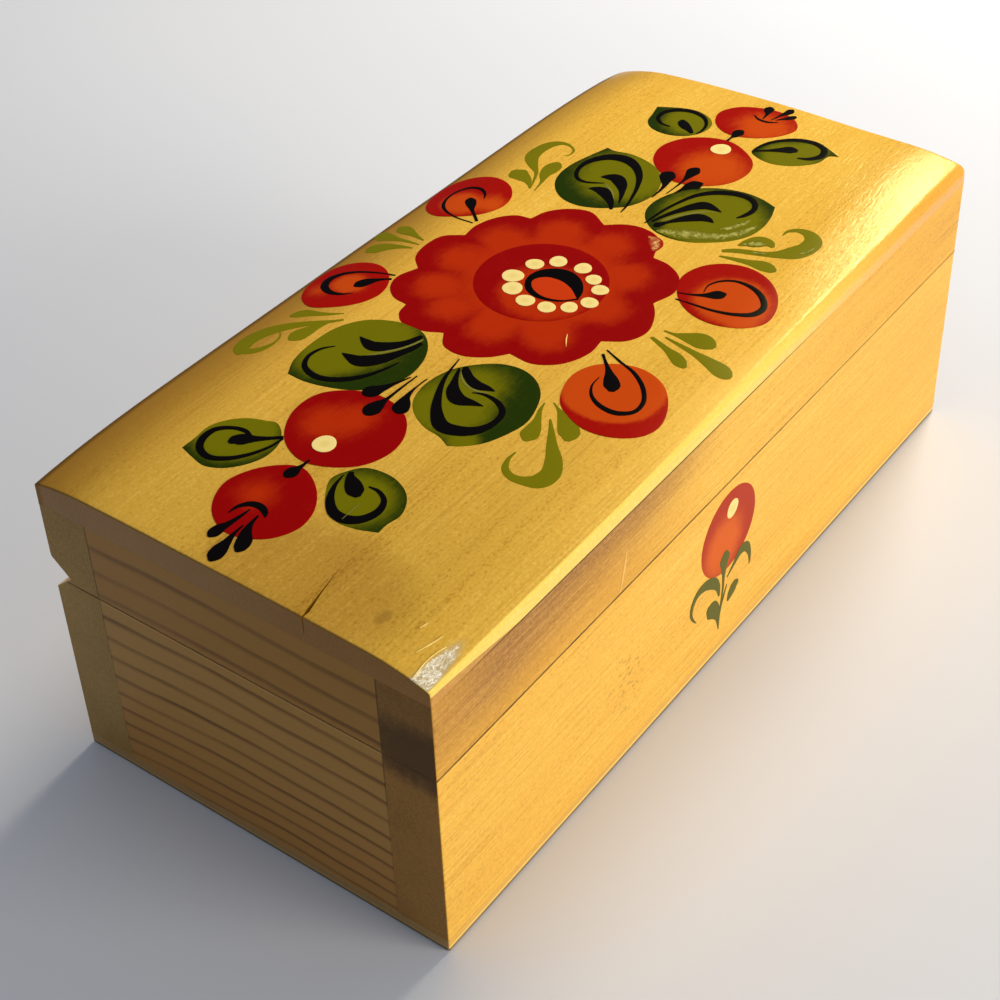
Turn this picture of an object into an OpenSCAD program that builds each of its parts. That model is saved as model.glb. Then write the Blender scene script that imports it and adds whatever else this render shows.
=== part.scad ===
// A small painted wooden box with a hinged lid and a gently domed top.
// The case is glued up whole and then sawn apart, so base and lid share one grain.
// Origin at the middle of the underside, X along the length, -Y to the front, Z up.

/* [Case] */
// Length of the case, along the grain
case_l = 200; // [140:1:320]
// Depth of the case, front to back
case_w = 94; // [76:1:160]
// Height of the saw cut that parts the lid from the base
part_h = 47.5; // [30:0.5:90]
// Height of the lid's rails, from the saw cut to the glue line under the top
rail_h = 18.3; // [14:0.1:40]
// Width of the saw cut
saw_gap = 0.2; // [0.1:0.05:0.5]

/* [Boards] */
// Thickness of the front and back boards
wall_t = 12; // [11:0.5:18]
// Thickness of the end boards
end_t = 10; // [6:0.5:16]
// Thickness of the bottom panel
bottom_t = 3; // [2:0.5:8]

/* [Top panel] */
// Thickness of the top panel at its crown
crown_t = 6.5; // [5.5:0.1:14]
// Distance of the crown line behind the middle of the case
crown_back = 15; // [0:1:18]
// Fall of the top from the crown line to the front shoulder
crown_fall = 0.75; // [0.3:0.05:1.5]
// Width of the front and back shoulders
shoulder_w = 14; // [10:0.5:17]
// Fall of the top across the front shoulder
front_fall = 2.6; // [1.4:0.1:3.2]
// Fall of the top across the back shoulder
back_fall = 1.8; // [1:0.1:3.2]
// Radius of the front and back edges of the top panel
edge_r = 1.5; // [0.5:0.1:2]

/* [Hinge groove] */
// Depth of the groove that runs along the back of the saw cut
groove_depth = 4.8; // [4.8:0.1:6]
// Height of the groove's bottom above the saw cut
groove_lift = 1.2; // [0:0.1:1.3]
// Reach of the groove below the saw cut
groove_drop = 2.9; // [2.8:0.1:5]
// Reach of the groove above the saw cut
groove_rise = 5.5; // [4:0.1:8]

/* [Hinges] */
// Length of a hinge leaf
leaf_l = 25; // [22:1:40]
// Thickness of a hinge leaf
leaf_t = 0.8; // [0.6:0.1:1]
// Wood left between a leaf and the inside of the case
leaf_margin = 1.5; // [0.5:0.1:2]
// Distance from the end of the case to the nearest leaf end
hinge_inset = 28; // [12:1:40]
// Outside diameter of the hinge barrel
barrel_d = 2.4; // [2:0.1:2.4]
// Gap between the barrel and the sides of the groove
barrel_gap = 0.2; // [0.1:0.05:0.2]
// Length of the lid leaf's knuckle
lid_knuckle_l = 9; // [6:0.5:14]
// Gap between neighbouring knuckles
knuckle_gap = 0.15; // [0.1:0.05:0.4]
// Diameter of the hinge pin
pin_d = 1.2; // [0.8:0.1:1.4]
// Radial play of the hinge pin in its knuckles
pin_play = 0.05; // [0.02:0.01:0.08]
// Diameter of the peened heads of the hinge pin
pin_head_d = 2; // [1.6:0.1:2.2]
// Thickness of the peened heads of the hinge pin
pin_head_t = 0.4; // [0.2:0.1:1]

/* [Screws] */
// Diameter of a screw's shank
screw_d = 2; // [1.6:0.1:2.4]
// Diameter of a screw's countersunk head
screw_head_d = 3.4; // [2.8:0.1:4]
// Length of a screw
screw_l = 8; // [6:0.5:12]
// Length of a screw's tapered point
screw_tip_l = 1.8; // [1:0.1:3]
// Diameter of the blunt end of a screw's point
screw_tip_d = 0.4; // [0.2:0.1:0.8]
// Distance of a screw from the end of its leaf
screw_end = 5; // [3:0.5:7]
// Width of a screw's driver slot
slot_w = 0.5; // [0.4:0.1:0.8]
// Depth of a screw's driver slot
slot_depth = 0.4; // [0.2:0.1:0.5]

/* [Hidden] */

// Smoothness of small rounds, and of the large arcs of the top
$fn = 64;
arc_fn = 1440;
// How far a cutter reaches past the wood it cuts
over = 1;
// How far an arc stands above the one that it runs into, so that the two cross cleanly
hair = 0.002;

pine = [0.87, 0.68, 0.34];
end_pine = [0.72, 0.52, 0.28];
plywood = [0.66, 0.47, 0.25];
brass = [0.78, 0.62, 0.28];

half_l = case_l / 2;
half_w = case_w / 2;
inner_w = case_w - 2 * wall_t;
base_top = part_h - saw_gap / 2;
lid_bottom = part_h + saw_gap / 2;
glue_h = lid_bottom + rail_h;
crown_h = glue_h + crown_t;

// Arc of the crown, from the front shoulder to the back one, its radius to a hundredth
crown_run = crown_back + half_w - shoulder_w;
crown_r = round(50 * (pow(crown_run, 2) + pow(crown_fall, 2)) / crown_fall) / 100;
crown_centre = [crown_back, crown_h - crown_r];

// Groove: the saw cut comes out at the lip, on the groove's lower side
lower_side_h = groove_lift + groove_drop;
upper_side_h = groove_rise - groove_lift;
lip_y = half_w - groove_depth * groove_drop / lower_side_h;

// Hinge line: the barrel lies in the groove at the height of the saw cut, clear of the lower side
pin_out = (barrel_d / 2 + barrel_gap) / sin(atan(lower_side_h / groove_depth));
pin_y = lip_y + pin_out;
leaf_y = half_w - wall_t + leaf_margin;
seat_w = lip_y - leaf_y;
screw_y = leaf_y + seat_w / 2;
screw_x = leaf_l / 2 - screw_end;
screw_head_l = (screw_head_d - screw_d) / 2;
hinge_x = half_l - hinge_inset - leaf_l / 2;
base_knuckle_l = (leaf_l - lid_knuckle_l) / 2 - knuckle_gap;

// Point of the crown's arc at a given depth
function crown_point(y) = [y, crown_centre[1] + sqrt(pow(crown_r, 2) - pow(y - crown_back, 2))];

// Radius of the shoulder's arc that leaves the crown at a slope and falls by a given height
function shoulder_r(fall, slope) = norm([shoulder_w, fall]) / (2 * sin(atan(fall / shoulder_w) - slope));

// A block between two heights, from its lowest corner in plan
module block(x, y, size_x, size_y, low, high) {
    translate([x, y, low])
        cube([size_x, size_y, high - low]);
}

// An outline in depth and height, drawn out along the length
module along_length(length) {
    rotate([90, 0, 90])
        linear_extrude(height = length, center = true)
            children();
}

// The long boards: the same plank below and above the saw cut
module front_board(low, high) {
    block(-half_l, -half_w, case_l, wall_t, low, high);
}

module back_board(low, high) {
    block(-half_l, half_w - wall_t, case_l, wall_t, low, high);
}

// The end boards, set between the long ones: side is -1 at the left and 1 at the right
module end_board(side, low, high) {
    left_x = side < 0 ? -half_l : half_l - end_t;
    block(left_x, -inner_w / 2, end_t, inner_w, low, high);
}

// The groove along the back of the saw cut, cut past the back face
module hinge_groove() {
    apex_h = part_h + groove_lift;
    reach = (groove_depth + over) / groove_depth;
    along_length(case_l + 2 * over)
        polygon([
            [half_w - groove_depth, apex_h],
            [half_w + over, apex_h - lower_side_h * reach],
            [half_w + over, apex_h + upper_side_h * reach],
        ]);
}

// All of the outline on the inner side of a depth: side is -1 for the front and 1 for the back
module inward_of(side, y) {
    translate([side < 0 ? y : y - case_w, glue_h])
        square([case_w, crown_t + over]);
}

// What a shoulder and its rounded edge leave of the top: side is -1 at the front and 1 at the back
module top_shoulder(side, fall) {
    joint = crown_point(side * (half_w - shoulder_w));
    slope = asin(side * (joint[0] - crown_back) / crown_r);
    radius = shoulder_r(fall, slope);
    centre = joint + (crown_centre - joint) * radius / crown_r;
    edge_y = side * (half_w - edge_r);
    edge_centre = [edge_y, centre[1] + sqrt(pow(radius - edge_r, 2) - pow(edge_y - centre[0], 2))];
    meet = centre + (edge_centre - centre) * radius / (radius - edge_r);
    intersection() {
        union() {
            translate(centre + [0, hair])
                circle(r = radius, $fn = arc_fn);
            inward_of(side, joint[0]);
        }
        union() {
            translate(edge_centre + [0, hair])
                circle(r = edge_r);
            inward_of(side, meet[0]);
            translate([-half_w, glue_h])
                square([case_w, edge_centre[1] + hair - glue_h]);
        }
    }
}

// The outline of the top panel: crown, two shoulders and their edges
module top_outline() {
    intersection() {
        translate([-half_w, glue_h])
            square([case_w, crown_t]);
        translate(crown_centre)
            circle(r = crown_r, $fn = arc_fn);
        top_shoulder(-1, front_fall);
        top_shoulder(1, back_fall);
    }
}

// Places its children at the left hinge (-1) or the right one (1)
module at_hinge(side) {
    translate([side * hinge_x, 0, 0])
        children();
}

// A round rod along the hinge line, from a given place
module hinge_rod(diameter, from_x, length) {
    translate([from_x, pin_y, part_h])
        rotate([0, 90, 0])
            cylinder(d = diameter, h = length);
}

// A leaf from its underside: a plate with an arm and a knuckle at each of the given places
module leaf(low, knuckle_starts, knuckle_l) {
    translate([0, 0, low])
        linear_extrude(height = leaf_t) {
            translate([-leaf_l / 2, leaf_y])
                square([leaf_l, seat_w]);
            for (from_x = knuckle_starts)
                translate([from_x, leaf_y])
                    square([knuckle_l, seat_w + pin_out]);
        }
    for (from_x = knuckle_starts)
        hinge_rod(barrel_d, from_x, knuckle_l);
}

// Half outline of a countersunk wood screw, head up, with the head's rim at the origin
// and a straight part above it when the outline is that of a hole
function screw_half(above) = [
    [0, above],
    if (above > 0) [screw_head_d / 2, above],
    [screw_head_d / 2, 0],
    [screw_d / 2, -screw_head_l],
    [screw_d / 2, screw_tip_l - screw_l],
    [screw_tip_d / 2, -screw_l],
    [0, -screw_l],
];

// The hole that a screw fills, open past the head's face
module screw_hole() {
    rotate_extrude()
        polygon(screw_half(over));
}

module screw() {
    difference() {
        rotate_extrude()
            polygon(screw_half(0));
        translate([-screw_head_d, -slot_w / 2, -slot_depth])
            cube([2 * screw_head_d, slot_w, slot_depth + over]);
    }
}

// Places its children at both screws of a leaf in the base, heads up
module at_base_screws() {
    for (side = [-1, 1])
        translate([side * screw_x, screw_y, base_top])
            children();
}

// Places its children at both screws of a leaf in the lid, heads down
module at_lid_screws() {
    for (side = [-1, 1])
        translate([side * screw_x, screw_y, lid_bottom])
            mirror([0, 0, 1])
                children();
}

// The shallow recess that a leaf lies in, open to the groove
module leaf_recess(low, high) {
    block(-leaf_l / 2, leaf_y, leaf_l, seat_w + pin_out, low, high);
}

module base_leaf() {
    color(brass)
        difference() {
            leaf(base_top - leaf_t, [-leaf_l / 2, leaf_l / 2 - base_knuckle_l], base_knuckle_l);
            hinge_rod(pin_d + 2 * pin_play, -leaf_l / 2 - over, leaf_l + 2 * over);
            at_base_screws() screw_hole();
        }
}

module lid_leaf() {
    color(brass)
        difference() {
            leaf(lid_bottom, [-lid_knuckle_l / 2], lid_knuckle_l);
            hinge_rod(pin_d + 2 * pin_play, -lid_knuckle_l / 2 - over, lid_knuckle_l + 2 * over);
            at_lid_screws() screw_hole();
        }
}

// The pin runs through all knuckles; its peened heads bear on the outer ones
module hinge_pin() {
    color(brass) {
        hinge_rod(pin_d, -leaf_l / 2, leaf_l);
        hinge_rod(pin_head_d, -leaf_l / 2 - pin_head_t, pin_head_t);
        hinge_rod(pin_head_d, leaf_l / 2, pin_head_t);
    }
}

module base_screws() {
    color(brass)
        at_base_screws() screw();
}

module lid_screws() {
    color(brass)
        at_lid_screws() screw();
}

module bottom_panel() {
    color(plywood)
        block(-half_l, -half_w, case_l, case_w, 0, bottom_t);
}

module base_front_wall() {
    color(pine)
        front_board(bottom_t, base_top);
}

module base_back_wall() {
    color(pine)
        difference() {
            back_board(bottom_t, base_top);
            hinge_groove();
            for (side = [-1, 1])
                at_hinge(side) {
                    leaf_recess(base_top - leaf_t, base_top + over);
                    at_base_screws() screw_hole();
                }
        }
}

module base_left_end() {
    color(end_pine)
        end_board(-1, bottom_t, base_top);
}

module base_right_end() {
    color(end_pine)
        end_board(1, bottom_t, base_top);
}

module lid_front_rail() {
    color(pine)
        front_board(lid_bottom, glue_h);
}

module lid_back_rail() {
    color(pine)
        difference() {
            back_board(lid_bottom, glue_h);
            hinge_groove();
            for (side = [-1, 1])
                at_hinge(side) {
                    leaf_recess(lid_bottom - over, lid_bottom + leaf_t);
                    at_lid_screws() screw_hole();
                }
        }
}

module lid_left_end() {
    color(end_pine)
        end_board(-1, lid_bottom, glue_h);
}

module lid_right_end() {
    color(end_pine)
        end_board(1, lid_bottom, glue_h);
}

module lid_top_panel() {
    color(pine)
        along_length(case_l)
            top_outline();
}

module left_hinge_base_leaf() {
    at_hinge(-1) base_leaf();
}

module left_hinge_lid_leaf() {
    at_hinge(-1) lid_leaf();
}

module left_hinge_pin() {
    at_hinge(-1) hinge_pin();
}

module left_hinge_base_screws() {
    at_hinge(-1) base_screws();
}

module left_hinge_lid_screws() {
    at_hinge(-1) lid_screws();
}

module right_hinge_base_leaf() {
    at_hinge(1) base_leaf();
}

module right_hinge_lid_leaf() {
    at_hinge(1) lid_leaf();
}

module right_hinge_pin() {
    at_hinge(1) hinge_pin();
}

module right_hinge_base_screws() {
    at_hinge(1) base_screws();
}

module right_hinge_lid_screws() {
    at_hinge(1) lid_screws();
}

bottom_panel();
base_front_wall();
base_back_wall();
base_left_end();
base_right_end();
lid_front_rail();
lid_back_rail();
lid_left_end();
lid_right_end();
lid_top_panel();
left_hinge_base_leaf();
left_hinge_lid_leaf();
left_hinge_pin();
left_hinge_base_screws();
left_hinge_lid_screws();
right_hinge_base_leaf();
right_hinge_lid_leaf();
right_hinge_pin();
right_hinge_base_screws();
right_hinge_lid_screws();
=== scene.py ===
"""A painted wooden keepsake box: pine boards, a domed lid with folk flowers, brass hinges in the back."""

import math

import bmesh
import bpy
import numpy as np
from mathutils import Matrix, Vector


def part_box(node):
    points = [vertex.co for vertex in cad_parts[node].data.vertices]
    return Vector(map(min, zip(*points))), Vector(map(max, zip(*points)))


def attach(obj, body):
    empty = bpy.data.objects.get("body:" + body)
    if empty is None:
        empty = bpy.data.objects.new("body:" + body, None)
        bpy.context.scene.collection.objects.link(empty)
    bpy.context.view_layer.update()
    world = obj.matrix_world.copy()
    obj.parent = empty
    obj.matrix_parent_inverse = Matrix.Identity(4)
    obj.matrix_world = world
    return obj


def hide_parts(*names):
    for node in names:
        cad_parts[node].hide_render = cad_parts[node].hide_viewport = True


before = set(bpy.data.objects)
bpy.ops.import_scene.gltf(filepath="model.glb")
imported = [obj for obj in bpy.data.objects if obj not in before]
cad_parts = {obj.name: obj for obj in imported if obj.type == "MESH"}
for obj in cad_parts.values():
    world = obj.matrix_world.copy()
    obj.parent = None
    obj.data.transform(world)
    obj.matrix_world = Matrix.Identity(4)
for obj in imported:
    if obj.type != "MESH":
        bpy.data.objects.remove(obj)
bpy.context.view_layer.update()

# All sizes below are in millimetres
MM = 0.001


def box_mm(node):
    """Lowest and highest corner of a CAD node."""
    low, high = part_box(node)
    return np.array(low) / MM, np.array(high) / MM


top_low, top_high = box_mm("lid_top_panel")
HALF_L, HALF_W = top_high[:2]
GLUE_H, CROWN_H = top_low[2], top_high[2]
BASE_TOP = box_mm("base_front_wall")[1][2]
LID_BOTTOM = box_mm("lid_front_rail")[0][2]
SAW_CUT = (BASE_TOP + LID_BOTTOM) / 2
INNER_W = box_mm("base_left_end")[1][1]
SIDES = ("left", "right")

# Profile of the lid's top, as in the solid: a crown arc between two shoulders, with rounded edges
CROWN_BACK = 15.0
CROWN_FALL = 0.75
SHOULDER_W = 14.0
FRONT_FALL = 2.6
BACK_FALL = 1.8
BACK_EDGE_R = 0.9
# The front edge grows rounder to the right
FRONT_EDGE_R = 0.6
FRONT_EDGE_GROWTH = 1.9
GROWTH_START, GROWTH_RUN = -60.0, 130.0
# The top isn't quite true: along the back it slopes down to the right, and both ends of that edge
# fall away; the right end is a little lower in the middle and higher at the front
RISE_START = -10.0
BACK_RISE = 0.6
BACK_SLOPE = -0.0155
LEFT_FALL, LEFT_REACH = 1.75, 40.0
RIGHT_FALL, RIGHT_REACH = 1.6, 50.0
END_FALL, END_FALL_RUN = 0.6, 37.0
FRONT_RISE = 0.8
# Faint waves: height, and how far along the length and the depth each turns by one radian
WAVES = (0.03, 9.0, 23.0), (0.02, 37.0, 5.1)
# Share of the slab's thickness that the rounding of an edge may take
THIN_EDGE = 0.6
# The slab's grid: steps along the length and the depth, and points over a rounded edge
GRID_X, GRID_Y = 2.0, 1.2
ROUND_POINTS = 9
# Where the camera stands; the painted marks were placed from there on the plain profile
CAMERA_AT = (-274.1, -196.9, 305.8)

# Rounding of the outer edges of the case
LEFT_CORNER_R = 0.4
RIGHT_CORNER_R = 0.8
LEFT_TOP_R = 0.4
RIGHT_TOP_R = 0.5
CUT_EASE = 0.08
FOOT_EASE = 0.5
JOINT_EASE = 0.03
LIP_EASE = 3.2
EASE_STEPS = 4
# The back right corner is worn rounder, and the top is worn down there
WORN_CORNER_R = 3.0
CORNER_WEAR = 0.4
CORNER_REACH = 12.0
# The front boards come a little closer to each other than the saw's width
CUT_CLOSED = 0.05
# Edges closer than this to a face of the case lie on it
TOUCH = 0.02

# Groove along the back, and the leaves that lie in it, as in the solids
GROOVE_DEPTH = 4.8
GROOVE_LIFT = 1.2
GROOVE_DROP = 2.9
GROOVE_RISE = 5.5
LEAF_T = 0.8
LEAF_GAP = 0.1
LEAF_SINK = 0.02
# How far a cutter goes past the board that it cuts
CUT_PAST = 1.0

# Paint: height of each coat over the wood, how it thins at its edges, and how deep it reaches into the wood
COAT = 0.05
COAT_EDGE = 0.02
COAT_ROUND = 0.3
COAT_SUNK = 0.03
# Filled shapes: an extra ring of points along the rim, the share of a step that the others keep off it,
# and how closely their outlines are sampled
RIM_RING = 0.2
RING_GAP = 0.25
DOT_POINTS = 40
FRUIT_STEP = 0.6
SEED_STEP = 0.4
# Strokes: step along them, least half width, and the share of a bend's radius that the inner side may take
BRUSH_STEP = 0.4
BRUSH_MIN = 0.05
BEND_SHARE = 0.9


# Curves and surfaces

def smoothstep(t):
    """0 up to 0, 1 from 1 on, and a smooth rise between them."""
    t = np.clip(t, 0.0, 1.0)
    return t * t * (3 - 2 * t)


def shoulder_arc(side, fall):
    """Joint, centre and radius of the front (-1) or back (1) arc, then the crown's centre and radius."""
    run = CROWN_BACK + HALF_W - SHOULDER_W
    crown_r = (run**2 + CROWN_FALL**2) / (2 * CROWN_FALL)
    crown_centre = np.array([CROWN_BACK, CROWN_H - crown_r])
    joint_y = side * (HALF_W - SHOULDER_W)
    joint = np.array([joint_y, crown_centre[1] + math.sqrt(crown_r**2 - (joint_y - CROWN_BACK) ** 2)])
    slope = math.asin(side * (joint_y - CROWN_BACK) / crown_r)
    radius = math.hypot(SHOULDER_W, fall) / (2 * math.sin(math.atan(fall / SHOULDER_W) - slope))
    return joint, joint + (crown_centre - joint) * radius / crown_r, radius, crown_centre, crown_r


FRONT_ARC = shoulder_arc(-1, FRONT_FALL)
BACK_ARC = shoulder_arc(1, BACK_FALL)


def dome(y):
    """Height of the profile at a depth, without its rounded edges."""
    centre, radius = FRONT_ARC[3:]
    height = centre[1] + np.sqrt(radius**2 - (y - centre[0]) ** 2)
    for side, (joint, centre, radius, _, _) in ((-1, FRONT_ARC), (1, BACK_ARC)):
        arc = centre[1] + np.sqrt(np.maximum(radius**2 - (y - centre[0]) ** 2, 0))
        height = np.where(side * y > side * joint[0], arc, height)
    return height


def rounding(inset, radius):
    """How far a rounded edge of a given radius has fallen at a distance from the outline."""
    out = np.clip(radius - inset, 0, radius)
    return radius - np.sqrt(np.maximum(radius**2 - out**2, 0))


def hand_worked(x, y):
    """How far the top stands above its plain profile."""
    left = np.clip((-x - HALF_L + LEFT_REACH) / LEFT_REACH, 0, 1) ** 3
    right = np.clip((x - HALF_L + RIGHT_REACH) / RIGHT_REACH, 0, 1) ** 3
    at_back = np.clip((y - RISE_START) / (HALF_W - RISE_START), 0, 1) ** 2
    at_front = np.clip((SHOULDER_W - HALF_W - y) / SHOULDER_W, 0, 1) ** 2
    rise = at_back * (BACK_RISE + BACK_SLOPE * x - LEFT_FALL * left - RIGHT_FALL * right)
    rise -= END_FALL * right * smoothstep((y + HALF_W) / END_FALL_RUN)
    rise -= CORNER_WEAR * np.clip(1 - np.hypot(HALF_L - x, HALF_W - y) / CORNER_REACH, 0, 1) ** 2
    return rise + FRONT_RISE * at_front * smoothstep(x / HALF_L)


def soften_corners(x, y):
    """Moves the points at the corners of the plan onto round corners."""
    radius = np.where(x < 0, LEFT_CORNER_R, np.where(y < 0, RIGHT_CORNER_R, WORN_CORNER_R))
    across = np.clip((np.abs(x) - HALF_L) / radius + 1, 0, 1)
    along = np.clip((np.abs(y) - HALF_W) / radius + 1, 0, 1)
    reach = np.maximum(np.hypot(across, along), 1e-9)
    pull = np.where((across > 0) & (along > 0), np.maximum(across, along) / reach, 1)
    new_x = np.where(pull < 1, np.sign(x) * (HALF_L - radius + radius * across * pull), x)
    new_y = np.where(pull < 1, np.sign(y) * (HALF_W - radius + radius * along * pull), y)
    return new_x, new_y


def top_height(x, y):
    """Height of the lid's top, with its hand-worked shape, faint waves and rounded edges."""
    waves = sum(rise * np.sin(x / run_x + y / run_y) for rise, run_x, run_y in WAVES)
    plan_x, plan_y = soften_corners(x, y)
    height = dome(plan_y) + hand_worked(plan_x, plan_y) + waves
    front_r = FRONT_EDGE_R + FRONT_EDGE_GROWTH * smoothstep((x - GROWTH_START) / GROWTH_RUN)
    edge_r = np.where(y < 0, front_r, BACK_EDGE_R)
    edge_r = np.minimum(edge_r, THIN_EDGE * (height - GLUE_H))
    near_worn = smoothstep((y - HALF_W + CORNER_REACH) / (CORNER_REACH - WORN_CORNER_R))
    right_r = RIGHT_TOP_R + (BACK_EDGE_R - RIGHT_TOP_R) * near_worn
    side_r = np.where(x < 0, LEFT_TOP_R, np.minimum(right_r, edge_r))
    fall = np.maximum(rounding(HALF_W - np.abs(y), edge_r), rounding(HALF_L - np.abs(x), side_r))
    return height - fall


def on_top(u, v, lift):
    """Points above the lid's top: u to the right, v to the back, as seen on the plain profile."""
    share = hand_worked(u, v) / (CAMERA_AT[2] - CROWN_H)
    u, v = u + share * (CAMERA_AT[0] - u), v + share * (CAMERA_AT[1] - v)
    return np.stack([u, v, top_height(u, v) + lift], -1)


def on_front(u, v, lift):
    """Points before the front of the case: u to the right, v up."""
    return np.stack([u, np.full_like(u, -HALF_W) - lift, v], -1)


def smooth_path(points, spacing, closed=False):
    """Samples a smooth curve through given points; further columns, such as widths, go along."""
    p = np.array(points, float)
    if closed:
        p = np.vstack([p[-1:], p, p[:2]])
    else:
        p = np.vstack([2 * p[0] - p[1], p, 2 * p[-1] - p[-2]])
    steps = np.maximum(np.linalg.norm(np.diff(p[:, :2], axis=0), axis=1), 1e-6)
    knots = np.concatenate([[0], np.cumsum(np.sqrt(steps))])
    runs = []
    for i in range(1, len(p) - 2):
        count = max(2, math.ceil(steps[i] / spacing))
        t = np.linspace(knots[i], knots[i + 1], count, endpoint=False)[:, None]

        def between(a, b, low, high):
            return ((knots[high] - t) * a + (t - knots[low]) * b) / (knots[high] - knots[low])

        first = [between(p[j], p[j + 1], j, j + 1) for j in (i - 1, i, i + 1)]
        second = [between(first[j], first[j + 1], i - 1 + j, i + 1 + j) for j in (0, 1)]
        runs.append(between(second[0], second[1], i, i + 1))
    if not closed:
        runs.append(p[-2:-1])
    return np.vstack(runs)


def outline_with_corners(*runs, spacing=0.5):
    """A closed outline from smooth runs that meet at corners."""
    return np.vstack([smooth_path(run, spacing)[:-1] for run in runs])


def circle(centre, radius, count=120):
    """A closed outline; the radius may vary from point to point."""
    turn = np.linspace(0, 2 * math.pi, count, endpoint=False)
    return np.stack([centre[0] + radius * np.cos(turn), centre[1] + radius * np.sin(turn)], -1)


def soft_discs(*discs):
    """A patch of colour made of soft round spots: x, y, radius and softness of each."""
    def patch(u, v):
        rest = np.ones_like(u)
        for x, y, radius, soft in discs:
            rest = rest * (1 - smoothstep((radius + soft - np.hypot(u - x, v - y)) / (2 * soft)))
        return 1 - rest
    return patch


# Meshes

SMOOTH_UP_TO = math.radians(40)


def finish_mesh(mesh):
    """Turns all faces outwards and shades the mesh smooth, apart from its sharp edges."""
    work = bmesh.new()
    work.from_mesh(mesh)
    bmesh.ops.recalc_face_normals(work, faces=work.faces)
    work.to_mesh(mesh)
    work.free()
    mesh.polygons.foreach_set("use_smooth", [True] * len(mesh.polygons))
    mesh.set_sharp_from_angle(angle=SMOOTH_UP_TO)


def mesh_object(name, verts, faces):
    """A new object of the scene whose mesh is given in millimetres."""
    mesh = bpy.data.meshes.new(name)
    mesh.from_pydata((np.asarray(verts) * MM).tolist(), [], faces)
    finish_mesh(mesh)
    thing = bpy.data.objects.new(name, mesh)
    bpy.context.scene.collection.objects.link(thing)
    return thing


def new_piece(name, verts, faces, body, material, replaced=()):
    """A piece of the box that rides on a body."""
    piece = mesh_object(name, verts, faces)
    piece.data.materials.append(material)
    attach(piece, body)
    if replaced:
        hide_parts(*replaced)
    return piece


def grid_faces(rows, columns):
    """Faces of a grid of points that are listed row by row."""
    starts = [i * columns + j for i in range(rows - 1) for j in range(columns - 1)]
    return [(a, a + columns, a + columns + 1, a + 1) for a in starts]


def grid_rim(rows, columns):
    """The points around such a grid, in order."""
    first, last = range(columns), range((rows - 1) * columns, rows * columns)
    left = [i * columns for i in range(rows)]
    right = [i + columns - 1 for i in left]
    return left + list(last[1:]) + right[-2::-1] + list(first[-2:0:-1])


def cut_away(piece, low, high):
    """Cuts a block out of a piece for good."""
    bpy.ops.mesh.primitive_cube_add(size=1)
    cutter = bpy.context.active_object
    cutter.matrix_world = Matrix.LocRotScale(
        Vector((low + high) / 2) * MM, None, Vector(high - low) * MM
    )
    subtract(piece, cutter)


def subtract(piece, cutter):
    """Takes a cutter's shape out of a piece and removes the cutter."""
    modifier = piece.modifiers.new("cut", "BOOLEAN")
    modifier.object = cutter
    modifier.operation = "DIFFERENCE"
    modifier.solver = "EXACT"
    bpy.context.view_layer.update()
    shaped = piece.evaluated_get(bpy.context.evaluated_depsgraph_get())
    mesh = bpy.data.meshes.new_from_object(shaped)
    piece.modifiers.remove(modifier)
    finish_mesh(mesh)
    piece.data = mesh
    bpy.data.objects.remove(cutter)


def edge_ease(middle):
    """Rounding of a board's edge, by where its middle lies on the case."""
    def near(a, b):
        return abs(a - b) < TOUCH

    end_face = near(abs(middle[0]), HALF_L)
    long_face = near(abs(middle[1]), HALF_W)
    if end_face and long_face and middle[0] > 0:
        return WORN_CORNER_R if middle[1] > 0 else RIGHT_CORNER_R
    if end_face and long_face:
        return LEFT_CORNER_R
    if near(middle[1], HALF_W) and near(middle[2], SAW_CUT + GROOVE_RISE):
        return LIP_EASE
    if BASE_TOP - TOUCH < middle[2] < LID_BOTTOM + TOUCH:
        return CUT_EASE
    if near(middle[2], 0):
        return FOOT_EASE
    if end_face or long_face:
        return JOINT_EASE
    return 0.0


def board(name, node, body, material, outline=None, recesses=(), foot=0.0, head=0.0):
    """A board along the length of its CAD node, with an outline in depth and height and eased edges."""
    low, high = box_mm(node)
    low[2] -= foot
    high[2] += head
    if outline is None:
        outline = [(low[1], low[2]), (high[1], low[2]), (high[1], high[2]), (low[1], high[2])]
    count = len(outline)
    verts = [(x, y, z) for x in (low[0], high[0]) for y, z in outline]
    faces = [tuple(range(count)), tuple(range(count, 2 * count))]
    faces += [(i, (i + 1) % count, (i + 1) % count + count, i + count) for i in range(count)]
    piece = new_piece(name, verts, faces, body, material, [node])
    for recess in recesses:
        cut_away(piece, *recess)
    mesh = piece.data
    weights = mesh.attributes.new("bevel_weight_edge", "FLOAT", "EDGE")
    places = [np.array(v.co) / MM for v in mesh.vertices]
    eases = [edge_ease((places[e.vertices[0]] + places[e.vertices[1]]) / 2) for e in mesh.edges]
    widest = max(eases)
    weights.data.foreach_set("value", [ease / widest for ease in eases])
    bevel = piece.modifiers.new("eased edges", "BEVEL")
    bevel.limit_method = "WEIGHT"
    bevel.width = widest * MM
    bevel.segments = EASE_STEPS
    bevel.use_clamp_overlap = False
    bevel.harden_normals = True
    return piece


def stations(low, high, low_r, high_r, step):
    """Places along one axis: close together over the rounded ends and even between them."""
    turn = 1 - np.cos(np.linspace(0, math.pi / 2, ROUND_POINTS))
    count = math.ceil((high - high_r - low - low_r) / step)
    middle = np.linspace(low + low_r, high - high_r, count + 1)[1:-1]
    return np.concatenate([low + low_r * turn, middle, high - high_r * turn[::-1]])


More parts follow.
